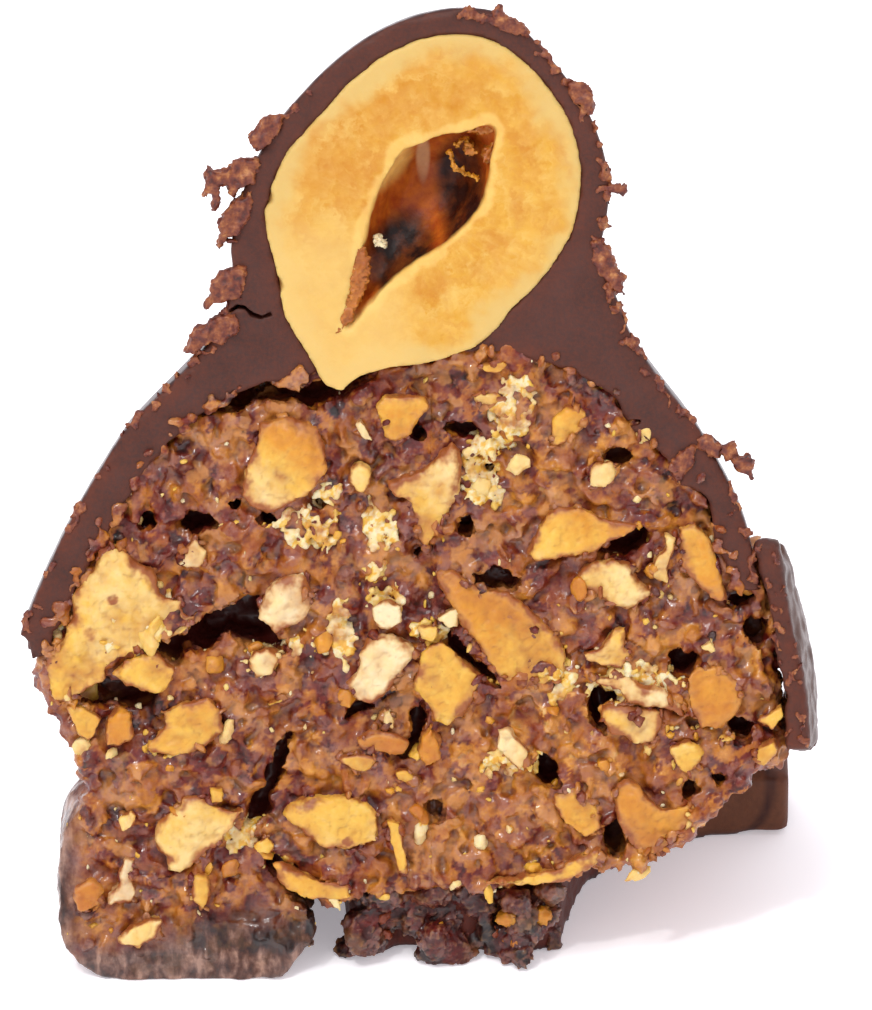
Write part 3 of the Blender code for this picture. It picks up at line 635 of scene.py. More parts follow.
tornHoles = {
    "bigHole": (2.8, (
        (-8.2, 12.3), (-8.0, 12.8), (-7.3, 13.3), (-6.5, 13.6), (-6.0, 14.0), (-5.5, 13.8), (-5.4, 13.1),
        (-5.2, 12.8), (-4.6, 12.4), (-4.8, 12.0), (-5.3, 12.1), (-6.2, 12.3), (-6.5, 12.7), (-7.0, 12.6),
        (-7.1, 12.1), (-7.7, 11.9), (-8.1, 12.1))),
    "bigHoleLeft": (2.0, (
        (-9.3, 12.2), (-8.8, 12.5), (-8.2, 12.6), (-7.9, 12.2), (-8.3, 11.9), (-8.3, 11.5), (-8.8, 11.8),
        (-9.2, 11.9))),
    "leftShelf": (2.2, (
        (-12.1, 10.2), (-11.8, 10.7), (-11.4, 10.8), (-10.9, 10.9), (-10.4, 10.9), (-10.1, 10.7),
        (-9.6, 10.5), (-9.0, 10.5), (-9.3, 10.1), (-9.8, 9.9), (-10.3, 9.9), (-10.8, 10.1), (-11.0, 9.8),
        (-11.4, 10.0), (-11.7, 10.1))),
    "nutCrack": (2.4, (
        (-7.9, 20.45), (-7.1, 20.7), (-6.4, 20.95), (-5.8, 21.35), (-5.0, 21.45), (-4.2, 21.45),
        (-3.3, 21.5), (-2.4, 21.85), (-1.5, 22.3), (-1.35, 21.9), (-2.3, 21.3), (-3.1, 20.95),
        (-3.6, 20.65), (-4.2, 20.95), (-5.3, 21.0), (-6.0, 20.75), (-6.6, 20.5), (-7.3, 20.45))),
    "leftSlotA": (1.8, ((-9.6, 16.9), (-9.3, 17.0), (-9.1, 16.6), (-9.2, 16.3), (-9.6, 16.5))),
    "leftSlotB": (2.0, (
        (-8.4, 16.5), (-7.9, 16.9), (-7.4, 17.0), (-7.0, 16.8), (-7.1, 16.4), (-7.6, 16.2), (-8.1, 16.2))),
    "leftSlotC": (1.4, ((-6.7, 17.5), (-6.2, 17.4), (-6.2, 17.2), (-6.6, 17.1))),
    "leftSlotD": (1.6, ((-5.6, 16.9), (-5.2, 16.9), (-5.0, 16.7), (-5.2, 16.5), (-5.5, 16.6))),
    "underCream": (1.4, ((-3.7, 17.5), (-3.3, 17.6), (-3.2, 17.3), (-3.6, 17.1))),
    "topSlotA": (1.4, ((-0.4, 19.9), (0.0, 20.0), (0.2, 19.7), (-0.2, 19.5))),
    "topSlotB": (1.6, ((0.7, 20.0), (1.4, 20.1), (2.2, 20.0), (1.9, 19.6), (1.2, 19.6))),
    "topSlotC": (1.4, ((2.0, 18.6), (2.5, 18.7), (2.9, 18.6), (2.6, 18.4), (2.1, 18.4))),
    "toothSide": (1.8, ((1.3, 16.8), (1.7, 16.8), (1.9, 16.4), (1.7, 16.0), (1.3, 16.2))),
    "slabTop": (1.5, ((1.7, 14.8), (2.6, 14.9), (3.5, 14.6), (3.3, 14.2), (2.6, 14.1), (1.9, 14.4))),
    "toothTip": (1.2, ((-0.2, 15.6), (0.1, 15.7), (0.1, 15.4), (-0.2, 15.4))),
    "underLeafGap": (2.0, (
        (6.1, 15.8), (6.9, 16.1), (7.6, 16.5), (7.95, 16.3), (7.8, 15.8), (7.2, 15.4), (6.5, 15.4))),
    "coatGap": (1.5, ((6.3, 19.1), (6.8, 19.3), (7.3, 19.2), (7.3, 18.8), (6.9, 18.6), (6.4, 18.7))),
    "rightGapA": (1.6, ((10.6, 13.9), (11.2, 14.2), (11.7, 14.0), (11.4, 13.5), (10.8, 13.5))),
    "rightGapB": (2.4, (
        (11.2, 12.9), (11.6, 13.1), (12.0, 12.8), (12.0, 12.3), (11.7, 11.9), (11.3, 12.2))),
    "rightHoleA": (2.0, ((8.7, 11.7), (9.1, 12.0), (9.6, 11.9), (9.5, 11.4), (9.1, 11.0), (8.7, 11.1))),
    "rightHoleB": (1.8, ((10.7, 9.4), (11.1, 9.6), (11.5, 9.4), (11.4, 8.8), (11.0, 8.8))),
    "rightHoleC": (1.5, ((9.1, 7.1), (9.3, 7.4), (9.6, 7.1), (9.6, 6.8), (9.2, 6.7))),
    "rightHoleD": (1.2, ((10.1, 7.5), (10.4, 7.6), (10.7, 7.4), (10.4, 7.1))),
    "wedgeHole": (2.2, (
        (5.8, 10.5), (7.1, 10.5), (7.1, 10.3), (6.4, 10.1), (6.2, 9.8), (6.6, 9.1), (6.3, 9.0), (5.9, 9.5))),
    "lowerGapA": (2.2, (
        (3.9, 8.1), (4.2, 8.3), (4.6, 7.9), (4.8, 7.4), (4.8, 7.0), (4.3, 7.1), (4.0, 7.6))),
    "lowerGapB": (2.4, ((6.4, 5.6), (6.8, 5.8), (7.2, 5.4), (7.1, 4.7), (6.8, 4.3), (6.5, 4.8))),
    "slabCrack": (1.8, (
        (0.9, 12.5), (1.3, 12.6), (1.6, 12.1), (1.9, 11.6), (2.3, 11.4), (2.8, 10.9), (2.6, 10.8),
        (2.0, 11.1), (1.6, 11.5), (1.2, 11.8), (1.0, 12.1))),
    "blockCrack": (1.8, (
        (-0.2, 10.1), (0.1, 10.2), (0.2, 9.6), (0.0, 8.9), (0.0, 8.5), (-0.4, 8.2), (-0.7, 8.0),
        (-0.8, 8.3), (-0.3, 8.6), (-0.3, 9.4))),
    "shortCrack": (1.6, ((-2.7, 9.8), (-2.2, 9.9), (-1.7, 10.1), (-1.6, 9.9), (-2.1, 9.6), (-2.6, 9.5))),
    "longCrackA": (2.2, (
        (-4.6, 9.1), (-4.4, 8.9), (-4.7, 8.1), (-4.9, 7.3), (-5.2, 6.6), (-5.4, 6.0), (-6.0, 5.4),
        (-6.2, 5.6), (-5.8, 6.2), (-5.4, 7.0), (-5.2, 7.9), (-4.9, 8.6))),
    "darkPatch": (1.0, ((0.2, 6.4), (0.6, 6.6), (0.9, 6.4), (0.8, 5.8), (0.3, 5.7))),
    "lowerNotch": (2.0, (
        (-5.5, 4.5), (-5.1, 4.7), (-4.5, 4.2), (-4.0, 3.6), (-3.6, 2.9), (-3.7, 2.4), (-4.2, 2.9),
        (-4.7, 3.5), (-5.2, 4.0))),
}


def wedge(name, left, right, back):
    # waste under the plane through an edge on the cut face and a point behind it
    left, right = onFace(*left), onFace(*right)
    along = (right - left).normalized()
    inwards = Vector(back) - left
    inwards = (inwards - along * inwards.dot(along)).normalized()
    block = roundedBlock(name, (0, -4, 0), ((right - left).length * 1.4, 12, 12), 0)
    axes = Matrix((along, inwards, inwards.cross(along))).transposed().to_4x4()
    remeshed(placed(block, Matrix.Translation(left) @ axes), pasteSettings["wedgeCell"])
    return roughened(block, pasteSettings["underside"])


wedges = joined("wedges", [wedge(f"wedge{number}", *side) for number, side in enumerate(undersides)])
remeshed(wedges, pasteSettings["wedgeCell"])
pasteForm = drawnIn(swollen(copyOf(fillingForm, "pasteForm"), 0.1), coatSettings["drawnIn"] + 0.3)
carved(pasteForm, wedges)
bed = drawnOnFace("plateBed", plateBed, ((-4.2, 0.7), (-0.7, 1.0)))
remeshed(joined("pasteForm", [pasteForm, lumpForm, bed]), pasteSettings["formCell"])
carved(pasteForm, nutForm("nutSpace", pasteSettings["aroundNut"]))

holeBlocks = []
for name, (deep, outline) in tornHoles.items():
    layers = ((-deep, 0.55), (-deep * 0.6, 0.9), (0.1, 1.0), (1.4, 1.15))
    holeBlocks.append(drawnOnFace(name, outline, layers))
holes = remeshed(joined("holes", holeBlocks), pasteSettings["holeCell"])
swollen(holes, 0.2)
roughened(holes, *pasteSettings["holes"])

pasteShell = sliced(copyOf(pasteForm, "pasteShell"), onFace(0, 0, pasteSettings["sunk"]), faceOut)
pasteFace = sliced(copyOf(pasteShell, "pasteFace"), onFace(0, 0, pasteSettings["depth"]), -faceOut)
remeshed(pasteFace, pasteSettings["frontCell"])


def tornPlaces(point):
    # calmer on the skin of the dropped lump, and none where the front meets the rest
    if behindFace(point) > pasteSettings["depth"] - 0.3:
        return 0.0
    return 0.45 if point.z < 2.0 or point.x < -11.5 and point.z < 6.6 else 1.0


def sunkIn(shell, point):
    _, near, normal, _ = shell.closest_point_on_mesh(point)
    return max(0.0, (near - point).dot(normal))


def stuckPlaces(point):
    # where morsels stick: least behind the front and near the table, none in the holes and on the lump's skin
    if point.z < 0.9 or point.x < -11.6 and point.z < 6.6 or sunkIn(pasteShell, point) > 0.7:
        return 0.0
    return 0.3 if behindFace(point) > 1.4 or point.z < 2.2 else 1.0


# crags and lumps, torn holes and morsels stuck to the surface, all made one skin
roughened(pasteFace, *pasteSettings["crags"], group=weighted(pasteFace, "torn", tornPlaces))
carved(pasteFace, holes, keep=True)
marked(pasteFace, "stuck", stuckPlaces)
morsels = scatteredOn(pasteFace, "morsels", "stuck", *pasteSettings["morsels"])
joined("pasteFace", [pasteFace, copyOf(morsels, "morselsHere")])
remeshed(pasteFace, pasteSettings["cell"], adaptivity=0.01)
carved(pasteFace, roughened(swollen(holes, -0.08), *pasteSettings["holesAgain"]))
roughened(pasteFace, pasteSettings["grit"], group=weighted(pasteFace, "torn", tornPlaces))
flatFoot(pasteFace)
toastLike(pasteFace, morsels, 0.4)
marked(pasteFace, "deep", lambda p: sunkIn(pasteShell, p))
creviced(pasteFace, rounds=30, reach=0.2)
drop(morsels)
print("stage 4: front of the paste", len(pasteFace.data.polygons))

pasteCore = sliced(copyOf(pasteForm, "pasteCore"), onFace(0, 0, pasteSettings["depth"] - 0.4), faceOut)
roughened(remeshed(pasteCore, pasteSettings["coreCell"]), *pasteSettings["core"])
flatFoot(pasteCore)
marked(pasteCore, "toast", lambda p: 0.4)
creviced(pasteCore, reach=0.2)
drop(pasteForm, pasteShell)
print("stage 5: rest of the paste", len(pasteCore.data.polygons))

# Chopped hazelnut in the cut face
choppedSettings = {
    "cell": 0.1,
    "root": -1.2,  # how deep a piece is set, mm
    "proud": (0.06, 0.26),  # least and most height over the cut face, mm
    "tip": 9.0,  # most tilt of a broken face, degrees
    "blend": 0.5,  # how far the paste's film reaches over a piece, mm
    "small": 2.2,  # square mm, a smaller piece has less film
    "relief": (relief(1.6, 0.42), relief(0.42, 0.17, hard=True), relief(0.14, 0.04, detail=1)),
}

choppedPieces = {  # toast at one end and at the other, direction in degrees, outline
    "creamToasted": (0.10, 0.95, 55, (
        (-5.9, 18.9), (-5.5, 20.2), (-4.6, 20.5), (-3.5, 20.1), (-3.2, 19.4), (-3.2, 18.4), (-3.8, 17.7),
        (-4.4, 17.3), (-5.1, 17.0), (-5.9, 17.2), (-6.2, 17.6))),
    "smallPale": (0.05, 0.2, 60, (
        (-8.4, 15.1), (-8.2, 15.6), (-7.8, 16.2), (-7.6, 16.0), (-7.3, 15.5), (-7.4, 15.2), (-7.6, 15.0),
        (-7.9, 15.0))),
    "leftFringe": (0.45, 0.60, -60, (
        (-12.3, 10.1), (-11.7, 10.1), (-11.2, 9.8), (-11.0, 9.6), (-11.2, 8.9), (-11.5, 8.7), (-11.9, 8.9),
        (-12.2, 9.5))),
    "leftMass": (0.44, 0.34, 20, (
        (-10.6, 15.9), (-10.1, 15.8), (-9.8, 15.3), (-9.2, 14.9), (-9.0, 14.1), (-8.2, 13.9), (-8.1, 13.3),
        (-7.7, 13.5), (-7.7, 13.0), (-8.2, 12.6), (-8.8, 12.5), (-9.3, 12.2), (-9.7, 12.1), (-10.2, 11.9),
        (-10.8, 11.5), (-10.9, 10.9), (-11.5, 10.7), (-12.1, 10.2), (-12.6, 10.2), (-12.9, 10.8),
        (-13.0, 11.4), (-12.8, 12.1), (-12.3, 12.5), (-12.2, 12.9), (-11.9, 13.2), (-12.0, 14.0),
        (-11.6, 14.7), (-11.1, 15.4))),
    "leftLobe": (0.42, 0.5, 0, (
        (-10.8, 11.2), (-10.3, 11.7), (-9.8, 11.9), (-9.1, 12.0), (-8.8, 11.7), (-8.4, 11.4), (-8.5, 10.9),
        (-8.9, 10.5), (-9.6, 10.6), (-10.1, 10.8))),
    "centreCream": (0.02, 0.10, 0, (
        (-5.6, 13.5), (-5.3, 14.2), (-4.9, 14.6), (-4.1, 14.8), (-3.7, 14.1), (-3.8, 13.6), (-4.1, 13.2),
        (-4.6, 12.9), (-5.0, 12.7), (-5.6, 13.2))),
    "tooth": (0.62, 0.08, 70, (
        (-1.1, 18.1), (-0.8, 18.1), (-0.4, 18.4), (0.4, 18.8), (1.1, 19.5), (1.4, 19.3), (1.5, 18.8),
        (1.4, 18.1), (1.3, 17.5), (1.0, 17.0), (0.6, 16.3), (0.2, 15.7), (-0.1, 16.1), (-0.3, 16.8),
        (-0.4, 17.5), (-0.7, 17.5), (-1.0, 17.8))),
    "topGold": (0.55, 0.65, 0, (
        (-1.6, 20.8), (-1.3, 21.2), (-0.3, 21.2), (0.2, 21.1), (0.4, 20.8), (0.0, 20.4), (-0.3, 19.8),
        (-0.8, 19.5), (-1.2, 19.6), (-1.4, 20.1))),
    "topGrey": (0.12, 0.2, 0, (
        (-2.3, 20.2), (-2.0, 20.4), (-1.7, 19.9), (-1.5, 19.5), (-1.9, 19.5), (-2.2, 19.9))),
    "beigeBit": (0.3, 0.4, 0, (
        (-2.4, 18.6), (-2.1, 18.8), (-1.7, 18.6), (-1.7, 18.1), (-2.0, 17.7), (-2.4, 18.0))),
    "topSlip": (0.45, 0.45, 0, (
        (2.0, 22.1), (2.1, 22.4), (2.9, 22.5), (3.1, 22.3), (2.8, 22.0), (2.3, 21.9))),
    "beigeSlip": (0.35, 0.45, 0, ((1.7, 21.1), (2.2, 21.3), (2.8, 21.2), (2.7, 20.9), (2.1, 20.8))),
    "rightTop": (0.52, 0.62, 0, (
        (4.4, 19.9), (4.5, 20.4), (5.0, 20.8), (5.6, 20.8), (5.8, 20.5), (5.7, 19.9), (5.3, 19.6),
        (4.7, 19.3), (4.4, 19.4))),
    "rightGrey": (0.15, 0.25, 0, (
        (5.8, 18.5), (6.0, 18.8), (6.6, 18.9), (6.8, 18.5), (6.6, 18.1), (6.0, 17.8), (5.8, 18.0))),
    "leaf": (0.46, 0.72, 10, (
        (3.7, 15.5), (4.0, 16.5), (4.7, 17.2), (5.8, 17.2), (6.3, 16.9), (7.6, 16.6), (7.3, 16.3),
        (6.7, 16.0), (5.8, 15.6), (4.9, 15.4), (4.0, 15.3))),
    "underLeaf": (0.38, 0.15, 0, (
        (5.4, 14.7), (5.8, 15.1), (6.7, 15.4), (7.3, 15.1), (7.6, 14.6), (8.3, 14.2), (7.9, 13.9),
        (7.2, 13.5), (6.6, 13.6), (6.0, 14.1), (5.4, 14.4))),
    "rightCream": (0.25, 0.32, 80, (
        (8.3, 16.4), (8.9, 16.2), (8.9, 15.8), (8.7, 15.1), (8.7, 14.4), (8.3, 14.4), (7.9, 14.7),
        (8.0, 15.4), (8.4, 15.8))),
    "rightBlade": (0.48, 0.85, -60, (
        (8.9, 16.5), (9.5, 16.6), (10.0, 16.1), (10.2, 15.4), (10.5, 14.4), (10.7, 13.8), (10.0, 13.9),
        (9.5, 14.4), (8.9, 15.0), (8.9, 15.7))),
    "bigSlab": (0.86, 0.44, -45, (
        (0.6, 14.9), (1.2, 15.0), (2.1, 14.4), (3.1, 14.1), (3.8, 13.5), (4.7, 12.5), (5.1, 11.9),
        (5.1, 11.1), (4.6, 10.8), (3.8, 10.8), (3.3, 10.8), (2.7, 11.0), (2.3, 11.6), (2.0, 12.3),
        (1.6, 12.7), (1.2, 13.3), (0.9, 14.0), (0.6, 14.5))),
    "jaggedBlock": (0.45, 0.55, 45, (
        (0.3, 12.3), (0.6, 12.5), (1.1, 12.3), (1.3, 12.1), (1.4, 11.8), (1.7, 11.6), (2.2, 11.1),
        (1.8, 10.3), (1.6, 10.0), (1.0, 9.3), (0.5, 9.4), (0.3, 9.9), (0.0, 10.2), (-0.3, 10.6),
        (-0.3, 10.9), (-0.1, 11.4), (0.0, 12.1))),
    "whiteBlock": (0.12, 0.02, -70, (
        (-2.2, 12.0), (-1.9, 12.5), (-1.4, 12.7), (-0.8, 12.6), (-0.1, 12.2), (-0.3, 11.8), (-0.8, 11.2),
        (-1.1, 10.5), (-1.6, 10.2), (-2.2, 10.2), (-2.5, 10.5), (-2.6, 10.9), (-2.2, 11.4))),
    "whiteCloud": (0.0, 0.0, 0, (
        (-1.7, 13.1), (-1.7, 13.7), (-1.1, 13.9), (-0.6, 13.7), (-0.6, 13.1), (-1.0, 12.8), (-1.4, 12.8))),
    "creamCorner": (0.1, 0.2, 0, (
        (0.5, 13.3), (1.3, 13.7), (1.4, 13.5), (1.3, 12.9), (1.0, 12.9), (0.6, 13.2))),
    "tanSmall": (0.3, 0.35, 0, ((-0.1, 12.9), (0.6, 13.0), (0.7, 12.6), (0.4, 12.3), (0.0, 12.5))),
    "paleLower": (0.12, 0.2, 0, (
        (2.6, 9.3), (3.1, 9.3), (3.8, 8.5), (3.8, 8.0), (3.5, 7.7), (3.1, 8.0), (2.6, 8.6))),
    "yellowMid": (0.40, 0.55, 0, (
        (-2.8, 8.3), (-2.2, 8.4), (-1.5, 8.3), (-1.4, 8.1), (-1.8, 7.6), (-2.4, 7.7), (-2.9, 8.1))),
    "creamDrop": (0.15, 0.3, 0, ((-1.3, 9.9), (-1.0, 10.0), (-0.8, 9.6), (-0.9, 9.2), (-1.3, 9.3))),
    "orangeBed": (0.8, 0.9, 0, (
        (-2.3, 8.9), (-1.6, 9.2), (-0.7, 9.1), (-0.3, 8.8), (-0.6, 8.3), (-1.4, 8.4), (-2.1, 8.5))),
    "goldDrop": (0.5, 0.6, 0, ((-0.9, 7.7), (-0.4, 7.8), (-0.1, 7.5), (-0.3, 7.2), (-0.8, 7.3))),
    "lowerPale": (0.55, 0.40, -60, (
        (-4.6, 6.5), (-4.1, 6.7), (-3.0, 6.9), (-2.2, 6.8), (-1.6, 6.4), (-1.4, 5.6), (-1.4, 5.1),
        (-2.4, 4.9), (-3.4, 5.0), (-4.3, 5.7), (-4.7, 6.1))),
    "crescent": (0.60, 0.45, 0, (
        (-1.2, 6.0), (-0.7, 5.9), (-0.4, 4.7), (-0.4, 4.0), (-0.8, 4.1), (-1.1, 5.1))),
    "orangeSoft": (0.85, 0.8, 0, ((0.0, 9.1), (0.4, 9.5), (0.7, 8.9), (0.7, 8.2), (0.2, 7.9), (-0.1, 8.4))),
    "smallYellow": (0.5, 0.5, 0, ((-0.4, 8.3), (-0.1, 8.5), (0.1, 8.3), (-0.1, 8.1))),
    "brightWedge": (0.42, 0.30, 0, (
        (6.3, 10.1), (6.6, 10.1), (7.2, 10.1), (8.3, 9.9), (8.4, 9.4), (8.1, 8.8), (7.6, 8.7), (7.1, 9.0),
        (6.6, 9.1), (6.2, 9.6))),
    "greenArc": (0.22, 0.20, 0, (
        (5.8, 11.2), (6.6, 11.2), (7.3, 11.2), (7.8, 10.7), (8.4, 10.7), (9.1, 10.3), (9.2, 9.6),
        (8.8, 10.0), (8.3, 10.1), (7.9, 10.0), (7.2, 10.2), (7.0, 10.6), (6.1, 10.8))),
    "arcTop": (0.30, 0.40, 0, (
        (5.5, 12.0), (6.2, 12.2), (6.7, 12.9), (7.1, 12.9), (7.0, 12.1), (7.3, 12.0), (7.0, 11.4),
        (6.3, 11.4), (5.7, 11.6))),
    "rightOrange": (0.80, 0.70, 90, (
        (9.2, 11.0), (9.5, 11.5), (10.3, 11.6), (11.0, 11.0), (11.2, 10.4), (11.0, 9.7), (10.4, 9.2),
        (9.7, 9.3), (9.3, 10.1))),
    "rightCreamTop": (0.2, 0.2, 0, ((9.6, 12.3), (10.1, 12.6), (10.3, 12.1), (10.1, 12.0), (9.6, 12.1))),
    "lowerYellow": (0.50, 0.40, 180, (
        (8.6, 8.6), (9.3, 8.9), (9.9, 8.4), (9.7, 7.9), (9.2, 7.5), (8.8, 8.0))),
    "tinyYellow": (0.35, 0.35, 0, ((10.3, 8.9), (10.9, 9.1), (10.9, 8.9), (10.4, 8.7))),
    "edgeGold": (0.5, 0.55, 0, ((11.6, 9.6), (12.5, 10.1), (12.7, 9.7), (12.2, 9.2))),
    "edgePeach": (0.55, 0.55, 0, ((11.6, 8.6), (12.3, 8.9), (12.4, 8.4), (11.9, 7.9), (11.6, 8.1))),
    "lowerOrange": (0.78, 0.68, 0, (
        (6.8, 7.3), (7.3, 7.5), (7.8, 6.9), (8.4, 6.4), (9.6, 6.6), (9.7, 6.1), (9.0, 5.4), (8.0, 4.6),
        (7.3, 5.0), (6.9, 5.8), (6.7, 6.7))),
    "lowerPeach": (0.62, 0.55, 0, (
        (4.6, 6.9), (5.2, 7.1), (5.9, 6.8), (6.3, 6.1), (6.2, 5.5), (5.7, 5.3), (4.8, 6.0), (4.5, 6.5))),
    "orangeChip": (0.7, 0.7, 0, ((6.1, 8.1), (6.6, 8.1), (6.6, 7.5), (6.2, 7.8))),
    "bottomSlice": (0.50, 0.42, -30, (
        (2.1, 3.7), (2.8, 3.9), (3.8, 4.1), (4.8, 4.2), (5.5, 4.6), (6.3, 5.0), (6.3, 4.6), (5.8, 4.2),
        (5.0, 3.7), (3.8, 3.6), (2.8, 3.5))),
    "lowerCrescent": (0.62, 0.50, -30, (
        (-5.2, 4.4), (-4.8, 4.5), (-4.1, 4.1), (-3.3, 3.8), (-2.5, 3.6), (-2.4, 3.1), (-3.1, 2.9),
        (-3.9, 3.1), (-4.7, 3.6))),
    "leftGold": (0.45, 0.62, 70, (
        (-9.1, 9.9), (-8.3, 10.2), (-7.3, 10.4), (-7.0, 9.9), (-6.8, 9.2), (-7.2, 8.7), (-7.8, 8.4),
        (-8.7, 8.3), (-9.6, 8.5), (-9.3, 8.9), (-8.9, 9.3))),
    "lumpPale": (0.35, 0.28, 180, (
        (-9.2, 5.8), (-8.8, 6.1), (-8.3, 6.4), (-8.2, 6.8), (-7.6, 6.8), (-7.3, 6.5), (-6.7, 6.4),
        (-6.0, 6.4), (-6.2, 6.1), (-6.8, 5.2), (-7.6, 4.5), (-8.3, 4.1), (-8.8, 4.1), (-8.8, 4.5),
        (-8.6, 4.6), (-9.1, 4.8), (-9.3, 5.2))),
    "lumpWhite": (0.02, 0.02, 0, (
        (-10.3, 4.6), (-9.9, 4.6), (-9.9, 3.8), (-9.8, 3.4), (-9.9, 2.9), (-10.5, 2.9), (-10.9, 2.9),
        (-10.8, 3.3), (-10.5, 3.6), (-10.5, 4.2))),
    "lumpOrange": (0.9, 0.9, 0, (
        (-12.0, 3.6), (-11.4, 3.8), (-11.0, 3.5), (-11.2, 2.9), (-11.9, 2.7), (-12.0, 3.1))),
    "lumpCream": (0.25, 0.3, 0, (
        (-10.6, 1.7), (-10.1, 2.2), (-9.4, 2.5), (-8.9, 2.4), (-9.2, 1.7), (-9.8, 1.3), (-10.5, 1.4))),
    "lumpTan": (0.4, 0.45, 0, ((-7.9, 4.0), (-7.4, 4.0), (-7.3, 3.2), (-7.6, 2.6), (-7.9, 3.1))),
    "lumpUpper": (0.35, 0.4, 0, ((-10.5, 6.1), (-10.0, 6.4), (-9.8, 6.1), (-9.9, 5.7), (-10.4, 5.5))),
    "yellowSpeck": (0.45, 0.45, 0, ((-5.4, 10.2), (-4.7, 10.5), (-4.6, 10.2), (-5.0, 10.0), (-5.4, 10.0))),
    "creamChip": (0.12, 0.15, 0, (
        (-5.8, 12.1), (-5.3, 12.2), (-4.8, 11.9), (-5.1, 11.2), (-5.7, 11.1), (-5.9, 11.7))),
    "tanChip": (0.4, 0.5, 0, ((-7.3, 7.1), (-6.8, 7.1), (-6.9, 6.6), (-7.2, 6.6))),
    "orangeLeft": (0.82, 0.75, 0, (
        (-10.9, 9.6), (-10.4, 10.0), (-10.0, 9.8), (-9.9, 9.0), (-10.4, 8.5), (-11.0, 8.6))),
    "lowerEdgeGold": (0.5, 0.5, 0, ((-5.9, 5.1), (-5.3, 5.4), (-5.0, 5.1), (-5.2, 4.7), (-5.7, 4.8))),
}

# u, v and size on the nuts
brownSpots = ((-10.6, 14.0, 0.32), (-11.4, 12.7, 0.42), (-8.9, 6.6, 0.25), (-2.5, 5.2, 0.3))

sideNuts = {  # x, y, z, length, width, toast
    "sideA": (-12.25, -0.6, 9.4, 2.7, 1.8, 0.45), "sideB": (-11.15, 1.5, 7.0, 2.2, 1.5, 0.3),
    "sideC": (-10.6, 3.9, 5.9, 2.4, 1.3, 0.6),
}


def toastOf(first, last, angle, outline):
    # the toast changes across a piece, from first to last in the direction of the angle
    middle = Vector(middleOf(outline))
    direction = Vector((math.cos(math.radians(angle)), math.sin(math.radians(angle))))
    reach = max((Vector(corner) - middle).length for corner in outline)

    def toast(point):
        along = (Vector(flatPlace(point)) - middle).dot(direction) / reach
        return first + (last - first) * (0.5 + 0.5 * clamped(along, -1.0))

    return toast


def nearSides(outline):
    # 1 at the outline of a piece and on a brown spot, fading to 0 a little way off
    corners = [Vector((*corner, 0)) for corner in outline]
    area = abs(sum(a[0] * b[1] - b[0] * a[1] for a, b in zip(outline, outline[1:] + outline[:1]))) / 2
    reach = choppedSettings["blend"] * min(1.0, area / choppedSettings["small"])

    def closeness(point):
        here = Vector((*flatPlace(point), 0))
        away = 9.0
        for first, last in zip(corners, corners[1:] + corners[:1]):
            side = last - first
            share = clamped((here - first).dot(side) / side.length_squared)
            away = min(away, (first + side * share - here).length)
        spot = max(1.3 - 1.3 * ((here.x - a) ** 2 + (here.y - b) ** 2) / r / r for a, b, r in brownSpots)
        return max(between(away, reach, 0.0), min(1.0, spot))

    return closeness


draw = random.Random(7)
pieces = []
for name, (first, last, angle, outline) in choppedPieces.items():
    proud = draw.uniform(*choppedSettings["proud"])
    tip = [draw.uniform(-1, 1) * choppedSettings["tip"] for _ in "xy"]
    layers = ((choppedSettings["root"], 0.7), (-0.2, 1.02), (proud * 0.5, 0.97), (proud, 0.68))
    piece = softened(remeshed(drawnOnFace(name, outline, layers, tip), choppedSettings["cell"]), 5)
    marked(piece, "toast", toastOf(first, last, angle, outline))
    pieces.append(marked(piece, "sides", nearSides(outline)))

for name, (x, y, z, length, width, toast) in sideNuts.items():
    out = Vector((x, y, 0)).normalized()
    axes = Matrix(((-out.y, out.x, 0), (0, 0, 1), out)).transposed().to_4x4()
    turns = [(k + draw.uniform(-0.3, 0.3)) * math.tau / 8 for k in range(8)]
    outline = [(length / 2 * math.cos(a), width / 2 * math.sin(a)) for a in turns]
    piece = drawnBlock(name, outline, ((-1.0, 0.7), (-0.1, 1.0), (0.3, 0.7)), (6, -5))
    placed(piece, Matrix.Translation((x, y, z)) @ axes)
    softened(remeshed(piece, choppedSettings["cell"]), 1)
    pieces.append(marked(piece, "toast", lambda p, toast=toast: toast))
choppedNuts = joined("choppedNuts", pieces)
roughened(choppedNuts, *choppedSettings["relief"])
creviced(choppedNuts)
marked(choppedNuts, "buried", lambda p: min(1.0, awayFrom(pasteFace, p)))
marked(choppedNuts, "film", lambda p: between(awayFrom(pasteFace, p), 0.2, 0.0) * (behindFace(p) < 0.3))
film, sides = [[spot.value for spot in choppedNuts.data.attributes[key].data] for key in ("film", "sides")]
noted(choppedNuts, "film", [value * between(side, 0.3, 0.8) for value, side in zip(film, sides)])
print("stage 6: chopped nuts", len(choppedNuts.data.polygons))

# The whole hazelnut
nutSettings = {
    "cell": 0.1, "hollowCell": 0.12, "bitCell": 0.06,
    "proud": 0.06,  # how far it stands out of the knife's plane
    "notches": (((-5.42, 28.2), 0.36), ((-5.02, 25.1), 0.32)),  # chips in the left rim
    "notchRelief": relief(0.3, 0.15),
    "hollow": (relief(0.8, 0.22, detail=3), relief(0.3, 0.10, hard=True)),
    "relief": (relief(2.0, 0.22), relief(0.45, 0.06)),
    "bits": (relief(0.5, 0.3), relief(0.18, 0.2, hard=True, detail=1)),
}

